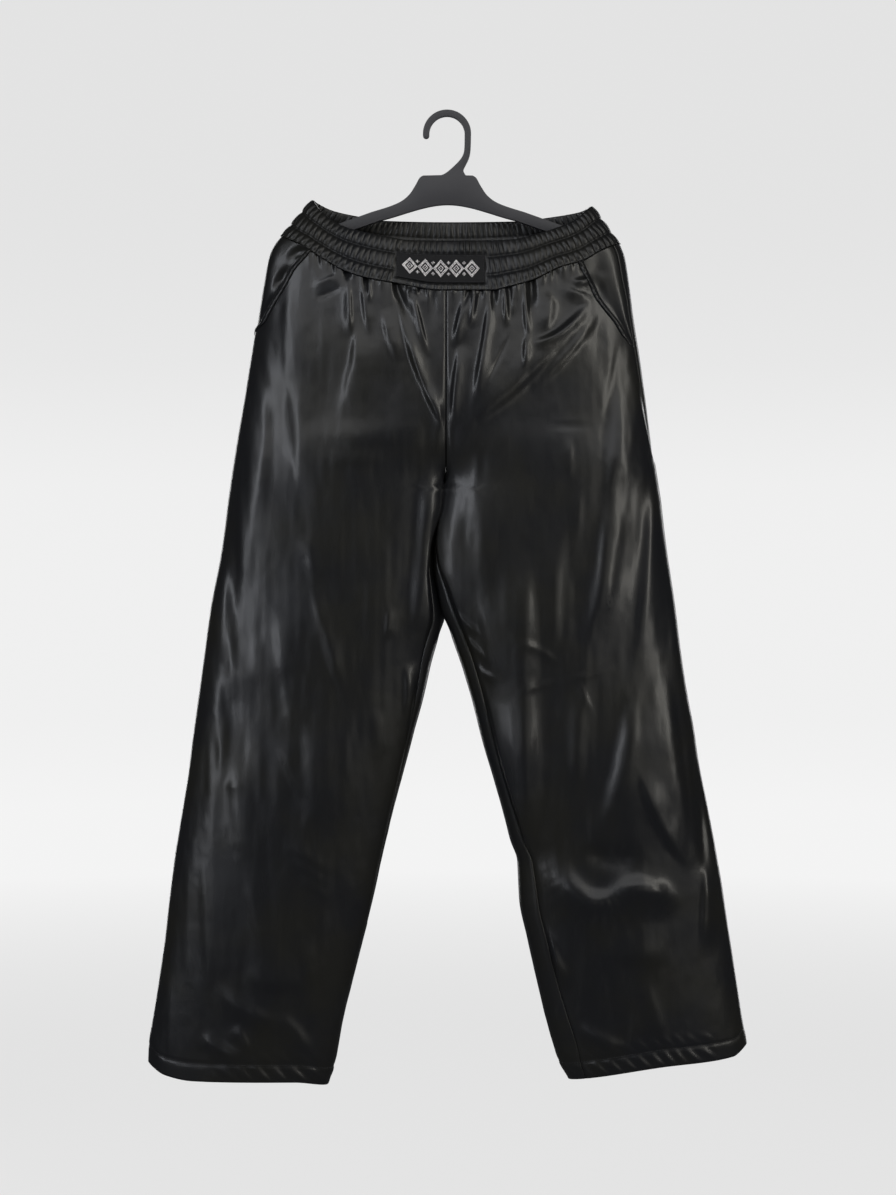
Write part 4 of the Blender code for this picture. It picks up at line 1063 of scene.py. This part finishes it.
pieces["label_patch"] = makeLabel()
print("waistband and label patch ready")

# pockets

pocket = {
    "rows": 70, "binding": 7.0, "bindingWall": 1.2, "bindingShort": 7.0, "facingDrop": 2.1,
    "underlap": 9.0, "least": 2.0, "gape": {right: 4.2, left: 1.6},
    "puckerSpacing": 7.6, "puckerHeight": 0.42, "endEase": 16.0,
}
# height, reach, depth: where a pocket mouth stands open beside its welt
pocketGapes = {right: ((-159.0, 7.0, 4.2), (-187.0, 14.0, 5.0)), left: ((-200.0, 16.0, 1.5),)}


def pocketRows(side, across, reach, short=0.0):
    # places and heights of rows between the waistband and the pocket's lower end
    form = forms[side]
    part = np.linspace(0.0, 1.0, pocket["rows"])[:, None] ** 1.05
    x = np.full((pocket["rows"], len(across)), side * 180.0)
    y = np.full_like(x, -1.0)
    for _ in range(settleRounds):
        top = acrossEdge(bandSeam, x, y) - 0.5 * cloth["bandGap"]
        z = top + part * (form.pocketBottom + short - top)
        at = reach(z)
        spot = form.points(at, z)
        x, y = spot[..., 0], spot[..., 1]
    return at, z


def makeBinding(side):
    form = forms[side]
    across = np.linspace(0.0, 1.0, 13)

    def reach(z):
        mouth = form.read("mouth", z) + 0.5 * cloth["seamGap"]
        return mouth + across * (pocket["binding"] * (0.5 + 0.5 * form.pocketOpen(z)))

    at, z = pocketRows(side, across, reach, pocket["bindingShort"])
    base, normal, _ = clothSurface(side, "front", at, z)
    arch = np.sin(math.pi * across ** 1.45)
    roll = 0.95 * arch ** 0.9 + 0.14 * softNoise(at, z, 5.0, 61 + side)
    phase = z / pocket["puckerSpacing"] + 0.5 * softNoise(z, z, 12.0, 63)
    roll = roll + pocket["puckerHeight"] * np.cos(2 * math.pi * phase) * arch
    # its lower end runs out flat at the side
    end = form.pocketBottom + pocket["bindingShort"]
    flat = 0.15 + 0.85 * ease((z - end) / pocket["endEase"])
    rise = (pocket["bindingWall"] + roll) * flat
    inner = base + normal * cloth["seamGap"]
    outer = base + normal * (cloth["seamGap"] + rise)[..., None]
    return shell("pocketWelt" + sideName[side].title(), [(outer, inner)], [weltLeather]), outer


def makeFacing(side):
    form = forms[side]
    across = np.linspace(0.0, 1.0, 25)

    def opening(z):
        seam = form.read("sideSeam", z) + 0.5 * cloth["seamGap"]
        return seam, np.maximum(form.read("mouth", z) - seam, pocket["least"])

    def reach(z):
        seam, width = opening(z)
        return seam + across * (width + pocket["underlap"] * form.pocketOpen(z))

    z = np.maximum(pocketRows(side, across, reach)[1], form.pocketBottom + 5.0)
    at = reach(z)
    spot, normal = form.points(at, z), form.normals(at, z)
    seam, width = opening(z)
    hold = np.minimum(0.3 * width, 5.0)
    sunk = ease((at - seam - hold) / (0.58 * width))
    middle = np.sin(math.pi * np.linspace(0.0, 1.0, len(at)))[:, None]
    drop = sunk * (pocket["facingDrop"] + pocket["gape"][side] * middle)
    beside = ease((at - seam - 0.60 * width) / (0.26 * width))
    for height, reachUp, depth in pocketGapes[side]:
        drop = drop + depth * beside * np.exp(-((z - height) / reachUp) ** 2)
    wide = np.clip((width - 6.0) / 10.0, 0.0, 1.0)
    drop = drop - 0.35 * softNoise(at, z, 11.0, 67 + side) * sunk * wide
    outer = spot - normal * drop[..., None]
    inner = outer - normal * cloth["wall"]
    return shell("pocketFacing" + sideName[side].title(), [(outer, inner)], [leather, knit])


weltSurface = {}
for side in (right, left):
    pieces["pocket_facing_" + sideName[side]] = makeFacing(side)
    item, weltSurface[side] = makeBinding(side)
    pieces["pocket_binding_" + sideName[side]] = item
print("pockets ready")

# hanger

hangerSize = {
    "hookRadius": 24.0, "hookWidth": 7.4, "centre": 1.0, "halfThickness": 3.5, "tipRadius": 6.2,
    "reach": 195.8, "slope": 0.355, "archTop": -101.8, "archOut": 78.0, "bevel": 1.1,
}
# X and height: the shoulder, then both sides of the neck up to the hook
shoulder = ((28.5, -68.5), (32.0, -70.6), (37.5, -80.0), (44.5, -90.5), (53.5, -98.0),
            (65.0, -103.3), (88.0, -110.6))
neckOut = ((21.5, -68.3), (18.0, -62.6), (22.3, -54.5), (25.5, -48.0), (27.3, -40.0))
neckIn = ((20.1, -40.0), (17.8, -46.6), (13.5, -52.4), (4.0, -61.5), (-2.0, -66.2), (-6.5, -68.0))


def arc(cx, cz, radius, start, end, steps):
    return [(cx + radius * math.cos(t), cz + radius * math.sin(t))
            for t in np.radians(np.linspace(start, end, steps + 1))]


def rounded(points, times):
    # cuts corners so that a coarse line becomes a smooth one with the same ends
    line = np.array(points)
    for _ in range(times):
        near = 0.75 * line[:-1] + 0.25 * line[1:]
        far = 0.25 * line[:-1] + 0.75 * line[1:]
        line = np.concatenate([line[:1], np.stack([near, far], 1).reshape(-1, 2), line[-1:]])
    return [tuple(p) for p in line]


def armOutline():
    size = hangerSize
    reach = np.linspace(shoulder[0][0], shoulder[-1][0], 45)
    outline = list(zip(reach, flow(shoulder, 1, reach)))
    tilt = math.degrees(math.atan(size["slope"]))
    tipX = size["reach"] - size["tipRadius"]
    lastX, lastZ = shoulder[-1]
    run = math.hypot(1.0, size["slope"])
    tipZ = lastZ - size["slope"] * (tipX - lastX) - size["tipRadius"] * run
    outline += arc(tipX, tipZ, size["tipRadius"], 90.0 - tilt, -90.0 - tilt, 24)
    lowX, lowZ = outline[-1]
    jointZ = lowZ + size["slope"] * (lowX - size["archOut"])
    for part in np.linspace(1.0, 0.0, 16)[:-1]:
        sag = part ** 2 * (2.0 - part)
        outline.append((part * size["archOut"], size["archTop"] + sag * (jointZ - size["archTop"])))
    return outline


def makeHanger():
    size = hangerSize
    half = 0.5 * size["hookWidth"]
    centreZ = -(size["hookRadius"] - half)
    outer, inner = size["hookRadius"] + half, size["hookRadius"] - half
    outline = rounded([*neckOut, (outer, centreZ)], 3)
    outline += arc(0.0, centreZ, outer, 0.0, 178.0, 64)[1:]
    outline += arc(-size["hookRadius"], centreZ - 1.5, half, 180.0, 360.0, 16)
    outline += arc(0.0, centreZ, inner, 178.0, 0.0, 56)
    outline += rounded([(inner, centreZ), *neckIn], 3)[1:]
    arm = armOutline()
    outline += [(size["centre"] - x, z) for x, z in arm]
    outline.append((size["centre"], size["archTop"]))
    outline += [(size["centre"] + x, z) for x, z in reversed(arm)]
    build = bmesh.new()
    corners = [(mm * x, -mm * size["halfThickness"], mm * z) for x, z in outline]
    front = build.faces.new([build.verts.new(corner) for corner in corners])
    pushed = bmesh.ops.extrude_face_region(build, geom=[front])
    moved = [item for item in pushed["geom"] if isinstance(item, bmesh.types.BMVert)]
    bmesh.ops.translate(build, verts=moved, vec=(0.0, 2.0 * mm * size["halfThickness"], 0.0))
    bmesh.ops.recalc_face_normals(build, faces=build.faces)
    rims = [edge for edge in build.edges if len({round(v.co.y, 6) for v in edge.verts}) == 1]
    bmesh.ops.bevel(build, geom=rims, offset=size["bevel"] * mm, segments=4, profile=0.5,
                    affect="EDGES", clamp_overlap=True)
    bmesh.ops.triangulate(build, faces=[face for face in build.faces if len(face.verts) > 4])
    mesh = bpy.data.meshes.new("mouldedHanger")
    build.to_mesh(mesh)
    build.free()
    mesh.materials.append(plastic)
    mesh.shade_smooth()
    mesh.set_sharp_from_angle(angle=math.radians(35.0))
    item = bpy.data.objects.new("mouldedHanger", mesh)
    shelf.objects.link(item)
    return item


pieces["hanger"] = makeHanger()
print("hanger ready")

# stitches and beads


def newTree(name, **wanted):
    tree = bpy.data.node_groups.new(name, "GeometryNodeTree")
    for socket, kind in wanted.items():
        tree.interface.new_socket(socket, in_out="INPUT", socket_type="NodeSocket" + kind)
    tree.interface.new_socket("Geometry", in_out="OUTPUT", socket_type="NodeSocketGeometry")
    graph = Graph(tree)
    return tree, graph, graph.node("NodeGroupInput")


def unevenSize(graph, given, seed):
    return graph.node("FunctionNodeRandomValue", {
        2: 1.0 - given["Unevenness"], 3: 1.0 + given["Unevenness"], "Seed": seed},
        data_type="FLOAT")[1]


def plant(graph, points, ball, size, material, more=None):
    # balls on points, made real and smooth
    solid = graph.node("GeometryNodeInstanceOnPoints", {
        "Points": points, "Instance": graph.node("GeometryNodeMeshUVSphere", ball)["Mesh"],
        "Scale": graph.node("ShaderNodeCombineXYZ", dict(zip("XYZ", size)))["Vector"],
        **(more or {})})["Instances"]
    for step, sockets in (("RealizeInstances", {}), ("SetShadeSmooth", {}),
                          ("SetMaterial", {"Material": material})):
        solid = graph.node("GeometryNode" + step, {"Geometry": solid, **sockets})["Geometry"]
    graph.node("NodeGroupOutput", {"Geometry": solid})


def stitchTree():
    # one small rounded stitch after another along each line of a path
    tree, graph, given = newTree("threadRun", Path="Geometry", Spacing="Float", Stitch="Float",
                                 Thickness="Float", Unevenness="Float", Thread="Material")
    line = graph.node("GeometryNodeMeshToCurve", {"Mesh": given["Path"]})["Curve"]
    line = graph.node("GeometryNodeResampleCurve", {
        "Curve": line, "Length": given["Spacing"]}, mode="LENGTH")["Curve"]
    turned = graph.node("FunctionNodeAlignRotationToVector", {
        "Vector": graph.node("GeometryNodeInputTangent")["Tangent"]}, axis="Z")["Rotation"]
    thick = given["Thickness"] * 0.5
    size = (thick, thick, given["Stitch"] * 0.5 * unevenSize(graph, given, 7))
    plant(graph, line, {"Segments": 6, "Rings": 4, "Radius": 1.0}, size, given["Thread"],
          {"Rotation": turned})
    return tree


def beadTree():
    # one round bead on each point
    tree, graph, given = newTree("beadField", Points="Geometry", Radius="Float",
                                 Unevenness="Float", Glass="Material")
    size = [unevenSize(graph, given, 11)] * 3
    plant(graph, given["Points"], {"Segments": 8, "Rings": 5, "Radius": given["Radius"]}, size,
          given["Glass"])
    return tree


def grown(name, lines, tree, values):
    # runs a tree on lines of points and keeps the outcome as a plain mesh
    points, edges = [], []
    for line in lines:
        edges += [(len(points) + k, len(points) + k + 1) for k in range(len(line) - 1)]
        points += [tuple(p) for p in np.asarray(line) * mm]
    mesh = bpy.data.meshes.new(name)
    mesh.from_pydata(points, edges, [])
    item = bpy.data.objects.new(name, mesh)
    shelf.objects.link(item)
    change = item.modifiers.new("growth", "NODES")
    change.node_group = tree
    sockets = {s.name: s.identifier for s in tree.interface.items_tree if s.in_out == "INPUT"}
    for key, value in values.items():
        change[sockets[key]] = value
    depsgraph = bpy.context.evaluated_depsgraph_get()
    done = bpy.data.meshes.new_from_object(item.evaluated_get(depsgraph))
    item.modifiers.clear()
    item.data = done
    bpy.data.meshes.remove(mesh)
    return item


def hemLine(side, face):
    # along the upper edge of the hem, just short of the seams
    part = np.linspace(0.0, 1.0, 160)
    x = np.full(len(part), side * 120.0)
    for _ in range(settleRounds):
        z = flow(hemEdge[side], 1, x) + cloth["hemHeight"]
        outer, inner = panelEdges(forms[side], face, z)
        at = outer + (0.004 + 0.992 * part) * (inner - outer)
        x = forms[side].points(at, z)[:, 0]
    return clothSurface(side, face, at, z, cloth["stitchLift"])[0]


def bandLine(part):
    row = np.interp(part, bandPart, np.arange(len(bandPart)))
    low = int(row)
    line = bandOuter[low] * (low + 1 - row) + bandOuter[low + 1] * (row - low) + bandNormal * 0.1
    return np.concatenate([line, line[:1]])


def onLabel(u, v, above):
    line = bandFrame(u[:, None], v, (labelHeight(u, v) + label["wall"] + above)[:, None])
    return line[:, 0]


def labelLine(inset):
    # a line round the patch, this far in from its edges
    start, end = label["left"] + inset, label["right"] - inset
    rise = inset / band["height"]
    low, high = label["low"] + rise, label["high"] - rise
    corners = ((start, low), (end, low), (end, high), (start, high), (start, low))
    sides = [np.linspace(a, b, count)
             for a, b, count in zip(corners, corners[1:], (90, 30, 90, 30))]
    return onLabel(*np.concatenate(sides).T, label["stitchLift"])


stitch = {"Spacing": 3.1 * mm, "Stitch": 2.3 * mm, "Thickness": 0.62 * mm, "Unevenness": 0.1,
          "Thread": thread}
lines = [hemLine(side, face) for side in (right, left) for face in ("front", "back")]
lines += [bandLine(part) for part in band["stitchLines"]]
for side in (right, left):
    lines += [weltSurface[side][1:-1, column] for column in (2, -3)]
lines.append(labelLine(label["stitchInset"]))
stitches = grown("blackStitches", lines, stitchTree(), stitch)

beadwork = {
    "lozenges": 5, "step": 17.6, "halfWidth": 8.1, "halfHeight": 9.4, "pitch": 1.28,
    "darkPitch": 1.6, "middle": -7.0, "centre": 0.425, "clusterUp": 6.4, "clusterStep": 1.3,
    "radius": 0.58, "scatter": 0.09, "paleScales": (1.0, 0.78, 0.34), "darkScale": 0.56,
}


def lozenge(centreX, scale, pitch=beadwork["pitch"]):
    wide, tall = beadwork["halfWidth"] * scale, beadwork["halfHeight"] * scale
    corners = [(centreX - wide, 0.0), (centreX, tall), (centreX + wide, 0.0), (centreX, -tall)]
    dots = []
    for (ax, az), (bx, bz) in zip(corners, corners[1:] + corners[:1]):
        count = max(2, round(math.hypot(bx - ax, bz - az) / pitch))
        dots += [(ax + (bx - ax) * k / count, az + (bz - az) * k / count) for k in range(count)]
    return dots


pale, dark = [], []
for k in range(beadwork["lozenges"]):
    centreX = beadwork["middle"] + (k - 0.5 * (beadwork["lozenges"] - 1)) * beadwork["step"]
    for scale in beadwork["paleScales"]:
        pale += lozenge(centreX, scale)
    pale.append((centreX, 0.0))
    dark += lozenge(centreX, beadwork["darkScale"], beadwork["darkPitch"])
    if k:
        between, apart = centreX - 0.5 * beadwork["step"], beadwork["clusterStep"]
        for up in (-1, 1):
            pale += [(between + apart * i, up * (beadwork["clusterUp"] + apart * j))
                     for i, j in ((0, 0), (1, 0), (-1, 0), (0, 1), (0, -1))]
for name, dots, glass in (("paleBeads", pale, pearl), ("smokeBeads", dark, smoke)):
    dots = np.array(dots) + rng.normal(0.0, beadwork["scatter"], (len(dots), 2))
    place = onLabel(dots[:, 0], beadwork["centre"] + dots[:, 1] / band["height"],
                    label["beadLift"])
    pieces[name] = grown(name, [[p] for p in place], beadTree(), {
        "Radius": beadwork["radius"] * mm, "Unevenness": 0.12, "Glass": glass})
print("stitches and beads ready")

# stage, light and camera


def stageMaterial():
    # pale paper with a painted glow of its own, even but painted dimmer towards the top and the
    # floor
    material, graph, place = newMaterial("paintedGlowPaper")
    up = graph.node("ShaderNodeSeparateXYZ", {"Vector": place})["Z"]
    # painted shade: the glow's brightness is set by height, lower towards the top and the floor
    level = graph.remap(up, -1.85, -0.75, 0.0, 0.5) + graph.remap(up, -0.6, 0.9, 0.0, 0.5)
    stops = ((0.0, 0.72), (0.16, 0.86), (0.3, 0.86), (0.45, 0.83), (0.6, 0.82), (0.8, 0.76),
             (1.0, 0.73))
    fade = graph.node("ShaderNodeValToRGB", {"Fac": level}, stops=stops)["Color"]
    fibre = graph.noise(place, 30.0, 3.0, 0.5)
    glow = graph.node("ShaderNodeEmission", {"Color": fade, "Strength": 1.0})
    paper = graph.node("ShaderNodeBsdfPrincipled", {
        "Base Color": (0.06, 0.06, 0.06), "Roughness": 0.8 + 0.1 * fibre,
        "Specular IOR Level": 0.1})
    both = graph.node("ShaderNodeAddShader", {0: glow["Emission"], 1: paper["BSDF"]})
    graph.node("ShaderNodeOutputMaterial", {"Surface": both[0]})
    return material


# in metres
stage = {"floor": -1.85, "disc": 1.5, "radius": 5.2, "corner": 1.6, "height": 4.2, "sides": 96}


def makeStage():
    # a wide bowl: floor, rounded corner and wall all round
    floor, radius, corner, sides = (stage[key] for key in ("floor", "radius", "corner", "sides"))
    profile = [(stage["disc"], floor), (radius - corner, floor)]
    for bend in np.linspace(0.0, 0.5 * math.pi, 15)[1:]:
        profile.append((radius - corner + corner * math.sin(bend),
                        floor + corner * (1.0 - math.cos(bend))))
    profile += [(radius, floor + corner + up) for up in (0.6, 1.2, 2.0, 3.0, stage["height"])]
    around = np.linspace(0.0, 2.0 * math.pi, sides, endpoint=False)

    def ring(r, z):
        return [(r * math.cos(a), r * math.sin(a), z) for a in around]

    points = np.array([ring(r, z) for r, z in profile]) / mm
    paper = [stageMaterial()]
    faces = grid(len(profile), sides, True)[1]
    bowl = meshObject("paperSweep", points.reshape(-1, 3), faces, paper)
    disc = np.array(ring(stage["disc"], floor) + [(0.0, 0.0, floor)]) / mm
    fan = [(k, (k + 1) % sides, sides) for k in range(sides)]
    base = meshObject("paperFloor", disc, fan, paper)
    for item in (bowl, base):
        item.visible_glossy = False
    return bowl, base


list(makeStage())


def softBox(name, place, aim, size, power, colour=(1.0, 1.0, 1.0)):
    lamp = bpy.data.lights.new(name, "AREA")
    lamp.shape = "RECTANGLE"
    lamp.size, lamp.size_y = size
    lamp.energy = power
    lamp.color = colour
    item = bpy.data.objects.new(name, lamp)
    item.location = place
    item.rotation_euler = (Vector(aim) - Vector(place)).to_track_quat("-Z", "Y").to_euler()
    item.visible_camera = False
    shelf.objects.link(item)
    return item


softBox("highFront", (0.0, -3.0, 1.25), (0.0, 0.0, -0.35), (3.2, 1.5), 20.0)
softBox("leftStrip", (-1.75, -2.5, 0.30), (0.0, 0.0, -0.30), (0.34, 2.6), 19.0, (0.91, 0.94, 1.0))
softBox("rightStrip", (1.90, -2.4, 0.42), (0.0, 0.0, -0.30), (0.38, 2.5), 20.0, (1.0, 0.97, 0.89))
softBox("leftFill", (-1.05, -3.0, -0.75), (0.0, 0.0, -0.75), (0.7, 1.1), 1.2, (0.86, 0.90, 1.0))
softBox("rightFill", (1.15, -2.95, -0.75), (0.0, 0.0, -0.75), (0.8, 1.1), 1.4, (1.0, 0.97, 0.89))
softBox("rearWash", (0.4, 3.0, 1.25), (0.0, 0.0, -0.35), (3.0, 1.6), 24.0)
softBox("rearLeft", (-1.8, 2.5, -0.1), (0.0, 0.0, -0.4), (0.36, 2.6), 15.0)
softBox("rearRight", (2.1, 2.2, -0.1), (0.0, 0.0, -0.4), (0.40, 2.6), 15.0)

world = bpy.context.scene.world or bpy.data.worlds.new("studio")
bpy.context.scene.world = world
world.use_nodes = True
world.node_tree.nodes.clear()
room = Graph(world.node_tree)
air = room.node("ShaderNodeBackground", {"Color": (0.92, 0.96, 1.0), "Strength": 0.055})
room.node("ShaderNodeOutputWorld", {"Surface": air["Background"]})
bpy.context.scene.view_settings.view_transform = "Standard"

lens = bpy.data.cameras.new("frontCamera")
lens.lens = 68.0
lens.sensor_width = 36.0
camera = bpy.data.objects.new("frontCamera", lens)
camera.location = (0.00115, -2.6, -0.554)
camera.rotation_euler = (math.radians(90.0), 0.0, 0.0)
shelf.objects.link(camera)
bpy.context.scene.camera = camera

# what each piece is in the frame

pieces["stitches"] = stitches
for node, item in pieces.items():
    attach(item, "root")
    if "Beads" not in node and node != "stitches":
        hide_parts(node)
print("pieces placed")
